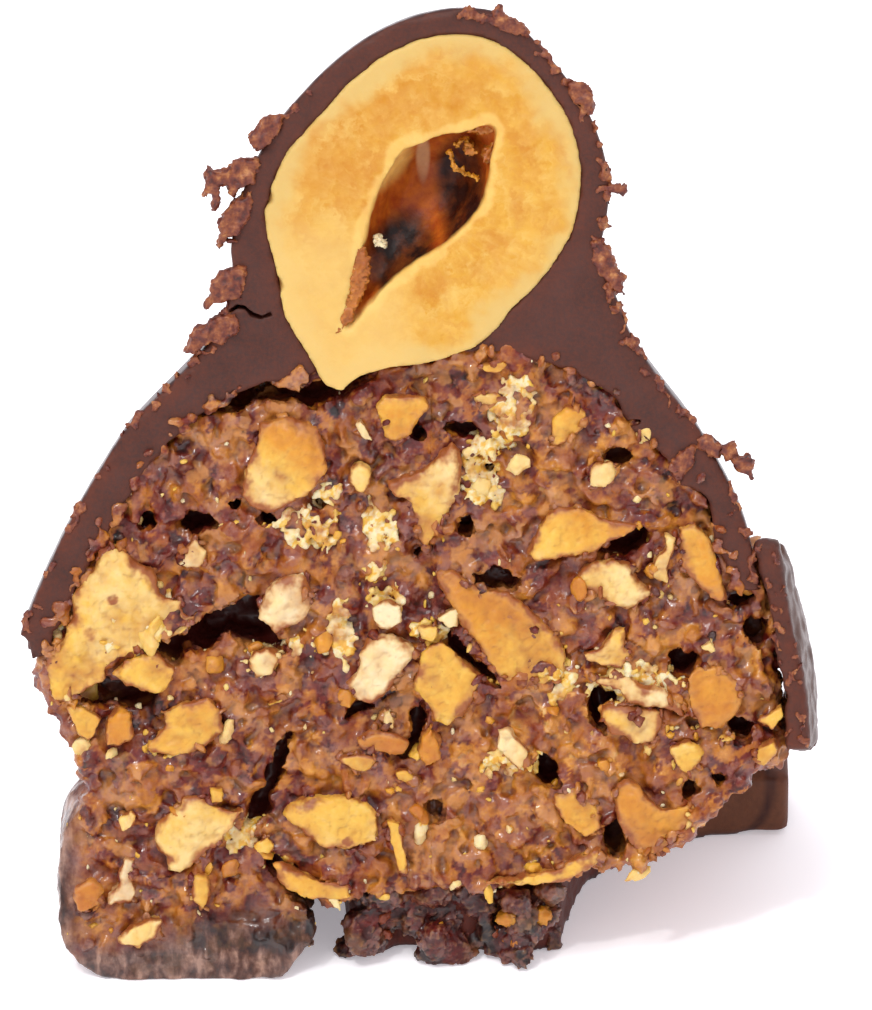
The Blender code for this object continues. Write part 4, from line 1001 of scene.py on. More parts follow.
hollowBits = {  # height over the cut face, depth of its root, toast, outline
    "skinStrip": (-0.45, -0.9, 0.75, (
        (0.90, 29.79), (1.10, 29.79), (1.14, 29.43), (1.31, 29.14), (1.72, 28.96), (2.14, 28.75),
        (2.10, 28.54), (1.66, 28.68), (1.21, 28.89), (0.97, 29.21))),
    "skinHook": (-0.4, -0.9, 0.85, (
        (1.10, 30.00), (1.45, 30.25), (1.72, 30.14), (1.45, 29.93), (1.21, 29.71))),
    "whiteCrumb": (0.12, -0.9, -0.1, (
        (-1.66, 26.79), (-1.41, 26.86), (-1.07, 26.54), (-1.10, 26.32), (-1.45, 26.36), (-1.66, 26.54))),
    "seam": (0.14, -1.2, 0.98, (
        (-2.28, 26.40), (-2.41, 25.50), (-2.62, 24.64), (-2.83, 23.75), (-2.95, 23.10), (-2.70, 23.35),
        (-2.38, 23.85), (-2.05, 24.40), (-1.80, 24.90), (-1.62, 25.50), (-1.66, 26.10), (-1.80, 26.50),
        (-2.05, 26.62))),
    "cornerTop": (-0.3, -1.4, 0.98, (
        (1.6, 30.5), (2.2, 30.75), (2.75, 31.0), (2.65, 30.5), (2.3, 30.25), (1.9, 30.2))),
    "cornerLeft": (-0.5, -1.4, 0.86, ((1.5, 30.1), (1.9, 30.0), (2.0, 29.6), (1.7, 29.4), (1.4, 29.7))),
    "cornerRight": (-0.2, -1.4, 1.0, ((2.15, 29.9), (2.55, 30.1), (2.6, 29.5), (2.3, 29.2), (2.1, 29.5))),
}

nut = sliced(nutForm("hazelnutKernel"), onFace(0, 0, -nutSettings["proud"]), faceOut)
hollow = placed(raisedRings("hollow", hollowLevels, sides=48, deep=hollowPlace["deep"]),
                inFace(hollowPlace["tip"], hollowPlace["turn"]))
roughened(remeshed(hollow, nutSettings["hollowCell"]), *nutSettings["hollow"])
carved(nut, hollow, keep=True)
for (u, v), radius in nutSettings["notches"]:
    notch = newBody("notch", bpy.ops.mesh.primitive_ico_sphere_add, subdivisions=3, radius=radius,
                    location=onFace(u, v))
    carved(nut, roughened(notch, nutSettings["notchRelief"]))
softened(remeshed(nut, nutSettings["cell"]), 4)
roughened(nut, *nutSettings["relief"])
marked(nut, "rim", lambda p: awayFrom(nutOuter, p))
marked(nut, "lip", lambda p: awayFrom(hollow, p))
creviced(nut, rounds=6, reach=0.08)
drop(hollow)

bits = []
for name, (top, root, toast, outline) in hollowBits.items():
    bit = drawnOnFace(name, outline, ((root, 0.8), (top - 0.15, 1.0), (top, 0.8)))
    remeshed(bit, nutSettings["bitCell"])
    bits.append(marked(bit, "toast", lambda p, toast=toast: toast))
hollowCrumbs = swollen(joined("hollowCrumbs", bits), -0.04)
roughened(hollowCrumbs, *nutSettings["bits"])
print("stage 7: hazelnut", len(nut.data.polygons))

# Cracked plate of the coat, from the node of the solids
plateSettings = {
    "cell": 0.14,
    "relief": (relief(2.4, 0.3), relief(0.6, 0.14, detail=3)),
    "outside": 12.0,  # x from which it shows its skin
}

plate = copyOf(frame["nodes"]["coat_plate"], "crackedPlate")
plate.parent = None
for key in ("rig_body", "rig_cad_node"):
    del plate[key]
openMesh(plate)
bpy.ops.mesh.remove_doubles(threshold=0.000001)
closeMesh()
softened(remeshed(placed(plate, Matrix.Scale(perMetre, 4)), plateSettings["cell"]), 10)
roughened(plate, *plateSettings["relief"])
# the second mark is where a painted reflection goes on the plate's outside
for mark in ("skin", "bloom"):
    marked(plate, mark, lambda p: float(p.x > plateSettings["outside"] and behindFace(p) > 0.2))
marked(plate, "rim", lambda p: 0.2 if behindFace(p) < 0.3 else 9.0)
marked(plate, "front", lambda p: float(behindFace(p) < 0.12))
print("stage 8: cracked plate", len(plate.data.polygons))

# Crumbs that the knife dragged out of the coat
burrSettings = {
    "cell": 0.075, "crumbCell": 0.07, "borderCell": 0.08,
    "behind": 0.55,  # how deep a burr is rooted, mm
    "fringe": (24.0, (0.18, 0.62), 31),  # per square mm, smallest and largest, seed
    "border": (12.0, (0.2, 0.75), 51),
    "plate": (5.0, (0.15, 0.5), 61),
    "relief": relief(0.5, 0.42, detail=3),
    "borderRelief": relief(0.25, 0.14),
    "grit": relief(0.2, 0.14, hard=True, detail=1),
}

burrOutlines = {  # height over the cut face, outline
    "flap": (0.5, (
        (8.83, 19.21), (9.66, 19.57), (9.52, 19.07), (9.34, 18.61), (8.86, 18.04), (8.62, 18.46),
        (8.59, 18.86))),
    "skinBurr": (0.5, (
        (-5.86, 30.32), (-5.59, 30.68), (-5.38, 31.00), (-5.10, 31.14), (-4.69, 31.07), (-4.83, 30.57),
        (-5.24, 30.00), (-5.55, 29.75), (-5.76, 30.00))),
    "antler": (0.5, (
        (-5.45, 29.64), (-5.86, 29.64), (-6.31, 29.61), (-6.52, 29.29), (-6.90, 29.18), (-7.14, 29.25),
        (-7.34, 29.39), (-7.38, 29.07), (-7.34, 28.75), (-7.48, 28.21), (-7.38, 28.14), (-7.24, 28.43),
        (-7.14, 28.32), (-7.10, 27.89), (-7.14, 27.64), (-6.93, 27.89), (-6.86, 28.36), (-6.90, 28.61),
        (-6.62, 28.68), (-6.55, 28.36), (-6.38, 28.21), (-6.07, 28.54), (-5.72, 28.71), (-5.38, 29.21))),
    "feather": (0.5, (
        (-5.72, 28.50), (-6.07, 28.36), (-6.21, 28.18), (-6.55, 27.93), (-6.79, 27.64), (-6.93, 27.18),
        (-6.86, 26.93), (-7.07, 26.50), (-6.90, 26.32), (-6.55, 26.68), (-6.28, 26.79), (-5.86, 27.43),
        (-5.79, 28.07))),
    "hook": (0.45, (
        (-5.93, 25.86), (-6.21, 25.79), (-6.62, 25.68), (-6.86, 25.57), (-7.17, 25.21), (-7.24, 24.79),
        (-7.48, 24.32), (-7.38, 24.21), (-6.97, 24.50), (-6.62, 24.54), (-6.00, 24.50))),
    "shoulderTuft": (0.5, (
        (-6.28, 24.18), (-6.62, 24.11), (-7.14, 23.96), (-7.31, 23.79), (-7.24, 23.68), (-7.69, 23.61),
        (-7.93, 23.32), (-8.00, 22.96), (-8.17, 22.71), (-7.76, 22.68), (-7.24, 23.07), (-6.83, 23.07),
        (-6.21, 23.43))),
    "rightTopA": (0.4, (
        (1.93, 34.50), (2.14, 34.82), (2.41, 34.68), (2.66, 34.96), (2.97, 34.64), (3.45, 34.36),
        (3.66, 34.07), (3.31, 33.86), (2.76, 34.14), (2.28, 34.29))),
    "rightTopC": (0.4, (
        (5.03, 32.29), (5.59, 32.29), (5.90, 31.86), (6.00, 31.36), (5.79, 31.07), (5.45, 31.43),
        (5.10, 31.86))),
    "hairTip": (0.3, (
        (6.00, 28.80), (6.90, 28.57), (7.14, 28.64), (7.03, 28.25), (6.83, 28.43), (6.00, 28.35))),
    "rightLow": (0.35, (
        (5.90, 26.93), (6.48, 26.50), (6.69, 26.00), (6.83, 25.54), (7.10, 25.36), (6.86, 25.18),
        (7.07, 24.71), (6.76, 25.00), (6.10, 25.40), (5.85, 26.43))),
    "shoulderA": (0.4, (
        (9.45, 19.71), (9.72, 19.71), (10.00, 19.71), (10.38, 19.43), (10.41, 18.93), (9.86, 19.00),
        (9.52, 19.36))),
    "shoulderB": (0.4, ((10.21, 19.21), (10.59, 19.43), (10.83, 19.50), (10.90, 19.07), (10.55, 18.86))),
    "shoulderC": (0.4, (
        (10.69, 19.07), (11.10, 18.96), (11.31, 19.21), (11.55, 18.57), (11.45, 18.14), (11.17, 18.36),
        (10.83, 18.57))),
}

burrs = []
for name, (proud, outline) in burrOutlines.items():
    layers = ((-burrSettings["behind"], 0.8), (-0.2, 1.0), (proud * 0.2, 0.98), (proud * 0.45, 0.8))
    burrs.append(remeshed(drawnOnFace(name, outline, layers), burrSettings["cell"]))
edgeBurrs = softened(joined("edgeBurrs", burrs), 1)
roughened(edgeBurrs, burrSettings["relief"])
fringe = scatteredOn(coat, "edgeFringe", "fringe", *burrSettings["fringe"])
borderCrumbs = scatteredOn(coat, "borderCrumbs", "border", *burrSettings["border"])
clotted(borderCrumbs, burrSettings["borderCell"], burrSettings["borderRelief"])
plateCrumbs = scatteredOn(plate, "plateCrumbs", "front", *burrSettings["plate"])
for crumbs in (fringe, plateCrumbs):
    remeshed(crumbs, burrSettings["crumbCell"])
joined("edgeBurrs", [edgeBurrs, fringe, plateCrumbs])
roughened(edgeBurrs, burrSettings["grit"])
print("stage 9: edge burrs", len(edgeBurrs.data.polygons), len(borderCrumbs.data.polygons))
drop(fillingForm, outerForm, nutOuter)

# Broken pieces of the base in front
debrisSettings = {  # how many, from where to where, smallest and largest, in mm
    "count": 60, "across": (-2.4, 4.7), "sizes": (0.6, 1.6), "up": (0.2, 2.8),
    "front": -3.2, "stray": (-0.4, 0.6),
    "nuts": 11, "nutsAcross": (-2.3, 4.4), "nutSizes": (0.3, 0.7), "nutsUp": (0.5, 2.3),
    "nutsFront": -3.65, "nutsStray": (0.0, 0.2), "nutToast": (0.75, 1.3),
    "wave": 0.25,  # how far the row swings in and out
    "cell": 0.1, "nutCell": 0.08,
    "relief": (relief(0.9, 0.6, detail=3), relief(0.3, 0.25, hard=True)),
    "nutRelief": (relief(0.5, 0.3), relief(0.2, 0.15, hard=True)),
}


def debrisLump(name, place, size):
    return applyPlace(newBody(name, bpy.ops.mesh.primitive_ico_sphere_add, subdivisions=2, radius=0.5,
                              location=place, rotation=[draw.uniform(0, 3) for _ in "xyz"],
                              scale=[size * draw.uniform(0.6, 1.4) for _ in "xyz"]))


def debrisPlace(x, front, stray):
    return front - draw.uniform(*stray) - debrisSettings["wave"] * math.sin(x * 2.3)


draw = random.Random(21)
lumps, bits = [], []
for number in range(debrisSettings["count"]):
    x = draw.uniform(*debrisSettings["across"])
    size = draw.uniform(*debrisSettings["sizes"])
    y = debrisPlace(x, debrisSettings["front"], debrisSettings["stray"])
    z = draw.uniform(*debrisSettings["up"])
    lumps.append(debrisLump(f"debris{number}", (x, y, max(z, size * 0.35)), size))
baseDebris = remeshed(joined("baseDebris", lumps), debrisSettings["cell"])
flatFoot(roughened(baseDebris, *debrisSettings["relief"]))
marked(baseDebris, "toast", lambda p: -0.18)
creviced(baseDebris)
for number in range(debrisSettings["nuts"]):
    x = draw.uniform(*debrisSettings["nutsAcross"])
    size = draw.uniform(*debrisSettings["nutSizes"])
    y = debrisPlace(x, debrisSettings["nutsFront"], debrisSettings["nutsStray"])
    z = draw.uniform(*debrisSettings["nutsUp"])
    bit = remeshed(debrisLump(f"bit{number}", (x, y, z), size), debrisSettings["nutCell"])
    toast = draw.uniform(*debrisSettings["nutToast"])
    bits.append(marked(bit, "toast", lambda p, toast=toast: toast))
debrisNuts = roughened(joined("debrisNuts", bits), *debrisSettings["nutRelief"])
print("stage 10: debris", len(baseDebris.data.polygons), len(debrisNuts.data.polygons))

# Scattered crumbs
crumbSettings = {  # where on the paste, most per square mm, sizes, seed, toast, mesh size where they clot
    "creamCrumbs": ("creamPlaces", 48.0, (0.12, 0.4), 3, (-0.1, 0.6), 0.065),
    "goldCrumbs": ("goldPlaces", 1.1, (0.16, 0.42), 5, (0.2, 0.8), None),
    "nutBits": ("bitPlaces", 0.08, (0.4, 1.3), 17, (0.1, 0.9), 0.09),
}
filmSettings = (9.0, (0.16, 0.6), 41, (0.1, 0.9))  # on the chopped nuts: most, sizes, seed, toast
clotRelief = relief(0.3, 0.12)

creamClusters = (
    (-3.9, 16.3, 1.15, 0.85), (-1.4, 16.5, 0.7, 0.9), (-3.2, 17.7, 0.45, 0.4), (-2.7, 12.9, 0.5, 1.15),
    (-5.4, 11.7, 0.7, 0.7), (-4.0, 12.2, 0.8, 0.5), (2.1, 18.4, 0.8, 1.4), (0.3, 12.6, 0.6, 0.5),
    (-1.5, 14.8, 0.6, 0.45), (7.5, 10.8, 1.7, 0.8), (-1.2, 13.7, 0.75, 0.6), (3.1, 20.5, 0.8, 1.6),
    (2.2, 17.7, 0.8, 0.7), (-10.4, 13.0, 1.8, 1.2), (-8.9, 8.6, 0.9, 0.3), (3.0, 8.0, 1.4, 0.5),
    (-6.3, 5.4, 0.8, 0.6), (5.0, 10.9, 0.5, 0.9))
goldClusters = (
    (-3.5, 16.6, 0.7, 0.4), (-2.2, 15.8, 0.7, 0.3), (-5.3, 16.2, 0.5, 0.3), (2.6, 10.2, 0.8, 0.8),
    (9.0, 9.0, 2.2, 1.5), (0.5, 7.6, 2.6, 1.2), (-8.4, 9.0, 1.6, 1.2), (8.5, 14.0, 2.0, 1.2))


def nearClusters(clusters, elsewhere):
    # clusters hold u, v, half width and half height
    def density(point):
        if behindFace(point) > 1.2 or point.z < 0.8:
            return 0.0
        u, v = flatPlace(point)
        broken = noise.noise(point * 1.6) * 1.2
        return max(elsewhere, min(1.0, broken + max(1.15 - ((u - a) / w) ** 2 - ((v - b) / h) ** 2
                                                    for a, b, w, h in clusters)))

    return density


def bitPlaces(point):
    if behindFace(point) > 0.7 or point.z < 2.6 or point.x < -11 and point.z < 8:
        return 0.0
    return 0.6 if point.z > 10 else 1.0


marked(pasteFace, "creamPlaces", nearClusters(creamClusters, 0.006))
marked(pasteFace, "goldPlaces", nearClusters(goldClusters, 0.03))
marked(pasteFace, "bitPlaces", bitPlaces)

scattered = []
for name, (places, most, sizes, seed, toast, cell) in crumbSettings.items():
    crumbs = scatteredOn(pasteFace, name, places, most, sizes, seed, toast)
    if cell:
        clotted(crumbs, cell, clotRelief)
    scattered.append(marked(crumbs, "sides", lambda p: 0.42))
filmCrumbs = scatteredOn(choppedNuts, "filmCrumbs", "film", *filmSettings)
drop(*kinds.objects)
bpy.data.collections.remove(kinds)
print("stage 11: crumbs", [len(crumbs.data.polygons) for crumbs in (*scattered, filmCrumbs)])

# Finishes
roomSettings = {
    "light": 1.15,  # how much light falls on the cut face
    "haze": 0.03,  # white that every surface mirrors back
    "least": 0.25,  # share of a dark colour that the haze can't take away
}

colours = {  # as they look in this room's light
    "chocolateCut": (84, 66, 63), "chocolateEdge": (122, 70, 54),  # purple-grey middle, reddish edge
    "chocolateSkin": (70, 42, 36), "chocolateTorn": (100, 60, 46),
    "chocolateChipPaintedLight": (110, 76, 62),  # the broken-off piece of the foot at the right: its own neutral brown, painted lighter as painted light for the shade it sits in
    "platePaintedReflection": (124, 96, 84),  # painted reflection: the light grey sheen that the outside of the cracked plate mirrors, painted into its colour
    "burr": ((66, 30, 22), (112, 62, 44), (150, 90, 62), (198, 138, 88)),
    "paste": ((54, 16, 8), (106, 52, 30), (146, 86, 46), (180, 114, 54), (212, 146, 68), (234, 190, 118)),
    "pasteRed": (138, 56, 36), "pasteTan": (208, 146, 84), "pasteViolet": (162, 112, 100),
    # painted light and shade: lighter crests, darker crevices and darker holes in the paste
    "pastePaintedCrestLight": (208, 154, 104), "pastePaintedCreviceShade": (62, 24, 14), "pastePaintedHoleShade": (92, 46, 28),
    "pasteSkin": ((50, 38, 36), (84, 64, 58), (122, 96, 86), (164, 132, 116)),  # grey streaks on the skin of the lump at the lower left
    "nut": ((238, 220, 176), (236, 206, 140), (230, 184, 84), (216, 150, 58), (188, 116, 52), (132, 70, 40)),
    "nutSmear": ((146, 80, 42), (204, 134, 64)), "nutPaintedCreviceShade": (150, 84, 40),
    "thinFilm": (222, 164, 92), "thickFilm": ((134, 74, 46), (178, 112, 66)),
    "kernel": ((232, 198, 124), (232, 174, 68), (214, 144, 52)),
    "kernelSpeck": (242, 206, 128), "kernelFoot": (228, 192, 118), "kernelLipPaleAndHighlight": (240, 204, 124),
    "darkRay": (204, 132, 54), "lightRay": (238, 202, 120),
    "lining": ((132, 66, 24), (170, 98, 40)),  # of the kernel's hollow
    "liningPale": (226, 180, 104), "liningRight": (62, 24, 12), "liningFoot": (54, 22, 12),
    "liningThread": (206, 170, 130),
}

mottleSettings = {  # size in mm, contrast and shift of the soft unevenness in each finish
    "chocolate": {"slow": (1.5, 2.2), "quick": (0.25, 1.6, 3.0), "fine": (0.12, 3.0, 6.0)},
    "burr": {"quick": (0.35, 2.2)},
    "paste": {"slow": (2.6, 2.0, 1.0), "quick": (0.5, 2.0, 5.0), "fine": (0.16, 1.8, 8.0),
              "red": (1.1, 5.0, 9.0), "tan": (1.3, 6.0, 14.0), "violet": (0.6, 6.0, 21.0),
              "oily": (0.9, 5.0, 12.0)},
    "nut": {"slow": (1.3, 1.6), "quick": (0.35, 1.4, 4.0), "patches": (0.9, 3.0, 7.0)},
    "kernel": {"slow": (2.2, 3.0), "quick": (0.45, 2.4, 2.0), "streaky": (0.8, 4.0, 11.0)},
}

patchPlaces = {  # x, z, wide and high on the cut face, mm
    "litChip": (11.1, 1.2, 2.8, 1.8), "warm": (5.5, 6.5, 7.5, 4.5), "shade": (-6.0, 2.3, 3.4, 1.5),
    "kernelTop": (-1.8, 29.0, 4.6, 4.6), "kernelFoot": (-3.6, 22.6, 3.6, 4.2),
    "liningPale": (-1.1, 28.2, 0.9, 1.3), "liningRight": (1.4, 26.9, 0.95, 1.8),
    "liningFoot": (-0.6, 24.7, 1.4, 1.2), "liningThread": (0.1, 27.7, 0.26, 1.1),
}

finishPlaces = {  # x and z in mm
    "smearHeights": (24.0, 17.0),  # down the coat's cut, from faint smears to plain ones
    "lumpHeights": (5.1, 3.9), "lumpRight": -3.3,  # where the lump's grey skin begins from above
    "lumpSide": (-11.5, -12.4), "lumpTop": 6.6,  # and at its left side
    "raysMiddle": (0.3, 26.6),  # in the nut's hollow
}


def paint(rgb, strength=1.0):
    # the colour that a shader takes to look like rgb in this room's light
    light = [(c / 255 / 12.92) if c < 10 else ((c / 255 + 0.055) / 1.055) ** 2.4 for c in rgb]
    seen = [max(c * roomSettings["least"], c - roomSettings["haze"]) for c in light]
    return (*[strength * c / roomSettings["light"] for c in seen], 1.0)


def worked(add, operation, *values, **settings):
    return add("Math", enumerate(values), operation=operation, **settings).outputs[0]


def times(add, first, second, **settings):
    return worked(add, "MULTIPLY", first, second, **settings)


def plus(add, base, value, share):
    # base and a share of value
    return worked(add, "MULTIPLY_ADD", value, share, base)


def ranged(add, value, first, last, low=0.0, high=1.0, **settings):
    inputs = {"Value": value, "From Min": first, "From Max": last, "To Min": low, "To Max": high}
    return add("MapRange", inputs, **settings).outputs[0]


def mixed(add, factor, first, second):
    return add("Mix", {0: factor, 6: first, 7: second}, data_type="RGBA").outputs[2]


def ramp(add, factor, shades):
    # these colours at even steps from 0 to 1
    made = add("ValToRGB", {"Fac": factor})
    elements = made.color_ramp.elements
    while len(elements) < len(shades):
        elements.new(0.5)
    for step, (element, rgb) in enumerate(zip(elements, shades)):
        element.position = step / (len(shades) - 1)
        element.color = paint(rgb)
    return made.outputs["Color"]


def markOf(add, name):
    return add("Attribute", attribute_name=name).outputs["Fac"]


def inMillimetres(add):
    spot = add("TexCoord").outputs["Object"]
    return add("Mapping", {"Vector": spot, "Scale": (perMetre,) * 3}).outputs[0]


def axesOf(add, vector):
    return add("SeparateXYZ", {0: vector}).outputs


def noiseAt(add, place, scale, detail, **inputs):
    return add("TexNoise", {"Vector": place, "Scale": scale, "Detail": detail, **inputs}).outputs[0]


def newGroup(name, takes, output, kind="Float"):
    tree = bpy.data.node_groups.new(name, "ShaderNodeTree")
    for label, value in takes.items():
        socket = tree.interface.new_socket(label, in_out="INPUT", socket_type="NodeSocketFloat")
        socket.default_value = value
    tree.interface.new_socket(output, in_out="OUTPUT", socket_type="NodeSocket" + kind)
    add = nodesOf(tree, "ShaderNode")
    return tree, add, tree.nodes.new("NodeGroupInput").outputs, tree.nodes.new("NodeGroupOutput").inputs[0]


def makeMottle():
    # soft unevenness between 0 and 1: Size in mm, Contrast 1 leaves the noise as it is
    tree, add, takes, gives = newGroup("mottle", {"Size": 1.0, "Contrast": 1.0, "Shift": 0.0}, "Value")
    cloud = add("TexNoise", {"Vector": inMillimetres(add), "W": takes["Shift"],
                             "Scale": worked(add, "DIVIDE", 1.0, takes["Size"]), "Detail": 3.0,
                             "Roughness": 0.6}, noise_dimensions="4D").outputs[0]
    spread = worked(add, "ADD", cloud, -0.5)
    give(gives, worked(add, "MULTIPLY_ADD", spread, takes["Contrast"], 0.5, use_clamp=True))
    return tree


def makeDepth():
    # a mask that grows with the distance behind the knife's plane, from From to To in mm
    tree, add, takes, gives = newGroup("behindTheCut", {"From": 0.0, "To": 1.0}, "Mask")
    spot = add("VectorMath", {0: inMillimetres(add), 1: -faceFoot}, operation="ADD").outputs[0]
    depth = add("VectorMath", {0: spot, 1: -faceOut}, operation="DOT_PRODUCT").outputs["Value"]
    give(gives, ranged(add, depth, takes["From"], takes["To"]))
    return tree


def makePatch():
    # a soft round mask about a place in mm, Wide and High across the cut face
    tree, add, takes, gives = newGroup("patch", {"X": 0.0, "Z": 0.0, "Wide": 1.0, "High": 1.0}, "Mask")
    place = axesOf(add, inMillimetres(add))
    parts = []
    for axis, middle, size in ((0, "X", "Wide"), (2, "Z", "High")):
        away = worked(add, "SUBTRACT", place[axis], takes[middle])
        parts.append(worked(add, "POWER", worked(add, "DIVIDE", away, takes[size]), 2.0))
    give(gives, ranged(add, worked(add, "ADD", *parts), 1.3, 0.3, interpolation_type="SMOOTHSTEP"))
    return tree


def makeGrain():
    # a rough broken surface for the Normal socket: Size and Height in mm
    tree, add, takes, gives = newGroup("brokenGrain", {"Size": 0.2, "Strength": 0.5, "Height": 0.05},
                                       "Normal", "Vector")
    rough = noiseAt(add, inMillimetres(add), worked(add, "DIVIDE", 1.0, takes["Size"]), 5.0, Roughness=0.7)
    height = times(add, takes["Height"], 1 / perMetre)
    bump = add("Bump", {"Strength": takes["Strength"], "Distance": height, "Height": rough})
    give(gives, bump.outputs[0])
    return tree


mottle, behindCut, patch, brokenGrain = makeMottle(), makeDepth(), makePatch(), makeGrain()


def useGroup(add, group, **inputs):
    return add("Group", inputs, node_tree=group).outputs[0]


def mottledAs(add, finish):
    # a finish's kinds of unevenness, in the order of its settings
    return [useGroup(add, mottle, **dict(zip(("Size", "Contrast", "Shift"), values)))
            for values in mottleSettings[finish].values()]


def patchAt(add, name):
    return useGroup(add, patch, **dict(zip(("X", "Z", "Wide", "High"), patchPlaces[name])))


def setOn(shader, **values):
    for key, value in values.items():
        give(shader.inputs[key.replace("_", " ")], value)


def newFinish(name, **values):
    material = bpy.data.materials.new(name)
    material.use_nodes = True
    shader = material.node_tree.nodes["Principled BSDF"]
    setOn(shader, **values)
    return material, shader, nodesOf(material.node_tree, "ShaderNode")


def chocolateFinish():
    material, shader, add = newFinish("chocolateFinish")
    cut, edge, torn, litChip = (colours["chocolate" + part] for part in ("Cut", "Edge", "Torn", "ChipPaintedLight"))
    glossy, bloom = markOf(add, "skin"), markOf(add, "bloom")
    slow, quick, fine = mottledAs(add, "chocolate")
    lower = ranged(add, axesOf(add, inMillimetres(add))[2], *finishPlaces["smearHeights"], 0.2, 0.36)
    near = ranged(add, markOf(add, "rim"), 0.7, 0.0)
    smear = times(add, times(add, times(add, near, slow), lower), 2.2, use_clamp=True)
    middle = mixed(add, slow, paint(cut, 0.8), paint(cut, 1.3))
    middle = mixed(add, times(add, fine, 0.3), middle, paint(edge, 1.1))
    cutColour = mixed(add, smear, middle, mixed(add, quick, paint(edge, 0.5), paint(edge, 1.2)))
    tornColour = mixed(add, quick, paint(torn, 0.5), paint(torn, 1.3))
    # painted light: the chip at the foot is painted lighter than the torn chocolate, to make up for the shade
    # it sits in; its browner hue is its own
    chipWithPaintedLight = mixed(add, quick, paint(litChip, 0.8), paint(litChip, 1.25))
    tornColour = mixed(add, patchAt(add, "litChip"), tornColour, chipWithPaintedLight)
    body = mixed(add, useGroup(add, behindCut, From=0.3, To=0.12), tornColour, cutColour)
    # painted reflection: a warm grey sheen painted on the plate's outside, where its own mirror shine is
    # turned down
    paintedReflectionShare = times(add, bloom, ranged(add, slow, 0.0, 1.0, 0.25, 0.55))
    skin = mixed(add, paintedReflectionShare, paint(colours["chocolateSkin"]), paint(colours["platePaintedReflection"]))
    dull = ranged(add, quick, 0.0, 1.0, 0.42, 0.62)
    strength = ranged(add, glossy, 0.0, 1.0, 0.6, 0.03)
    setOn(shader, Base_Color=mixed(add, glossy, body, skin),
          Specular_IOR_Level=ranged(add, bloom, 0.0, 1.0, 0.22, 0.06),
          Roughness=add("Mix", {0: glossy, 2: dull, 3: 0.26}, data_type="FLOAT").outputs[0],
          Normal=useGroup(add, brokenGrain, Size=0.3, Strength=strength, Height=0.06))
    return material


def burrFinish():
    material, shader, add = newFinish("burrFinish", Roughness=0.5)
    setOn(shader, Base_Color=ramp(add, *mottledAs(add, "burr"), colours["burr"]),
          Normal=useGroup(add, brokenGrain, Size=0.15, Strength=0.5))
    return material


def pasteFinish():
    material, shader, add = newFinish("pasteFinish", Subsurface_Weight=0.05, Subsurface_Scale=0.0004,
                                      Subsurface_Radius=(1.0, 0.4, 0.2), Coat_Roughness=0.12,
                                      Specular_IOR_Level=0.35)
    toast, crevice, deep = (markOf(add, name) for name in ("toast", "crevice", "deep"))
    slow, quick, fine, red, tan, violet, oily = mottledAs(add, "paste")
    tone = times(add, toast, 0.42)
    for part, share in ((slow, 0.24), (quick, 0.32), (fine, 0.08), (patchAt(add, "warm"), 0.1)):
        tone = plus(add, tone, part, share)
    colour = ramp(add, ranged(add, tone, 0.27, 0.97), colours["paste"])
    notPale = ranged(add, toast, -0.3, 0.3)
    # red, tan and violet are the paste's own tones; the last three are painted light on the crests and
    # painted shade in the crevices and deep in the holes
    for name, factor in (("pasteRed", times(add, red, 0.35)),
                         ("pasteTan", times(add, ranged(add, tan, 0.7, 1.0, 0.0, 0.55), notPale)),
                         ("pasteViolet", ranged(add, violet, 0.7, 1.0, 0.0, 0.35)),
                         ("pastePaintedCrestLight", ranged(add, crevice, -0.15, -0.9, 0.0, 0.3)),
                         ("pastePaintedCreviceShade", ranged(add, crevice, 0.08, 0.72, 0.0, 0.9)),
                         ("pastePaintedHoleShade", ranged(add, deep, 0.45, 1.4))):
        colour = mixed(add, factor, colour, paint(colours[name]))
    # the grey streaked skin of the lump at the lower left
    x, _, z = axesOf(add, inMillimetres(add))
    uneven = plus(add, plus(add, z, slow, 1.6), x, -0.22)
    low = times(add, ranged(add, uneven, *finishPlaces["lumpHeights"], 0.0, 0.9),
                worked(add, "LESS_THAN", x, finishPlaces["lumpRight"]))
    side = times(add, ranged(add, x, *finishPlaces["lumpSide"], 0.0, 0.9),
                 worked(add, "LESS_THAN", z, finishPlaces["lumpTop"]))
    streaks = add("Mapping", {"Vector": inMillimetres(add), "Scale": (2.6, 1.4, 1.1)}).outputs[0]
    stripes = plus(add, noiseAt(add, streaks, 1.0, 5.0, Distortion=0.4), quick, 0.25)
    stripes = plus(add, stripes, patchAt(add, "shade"), -0.2)
    grey = ramp(add, ranged(add, stripes, 0.44, 0.78), colours["pasteSkin"])
    colour = mixed(add, worked(add, "MAXIMUM", low, side), colour, grey)
    setOn(shader, Base_Color=colour, Roughness=ranged(add, quick, 0.0, 1.0, 0.6, 0.36),
          Coat_Weight=times(add, oily, 0.8),
          Normal=useGroup(add, brokenGrain, Size=0.3, Strength=0.7, Height=0.08))
    return material


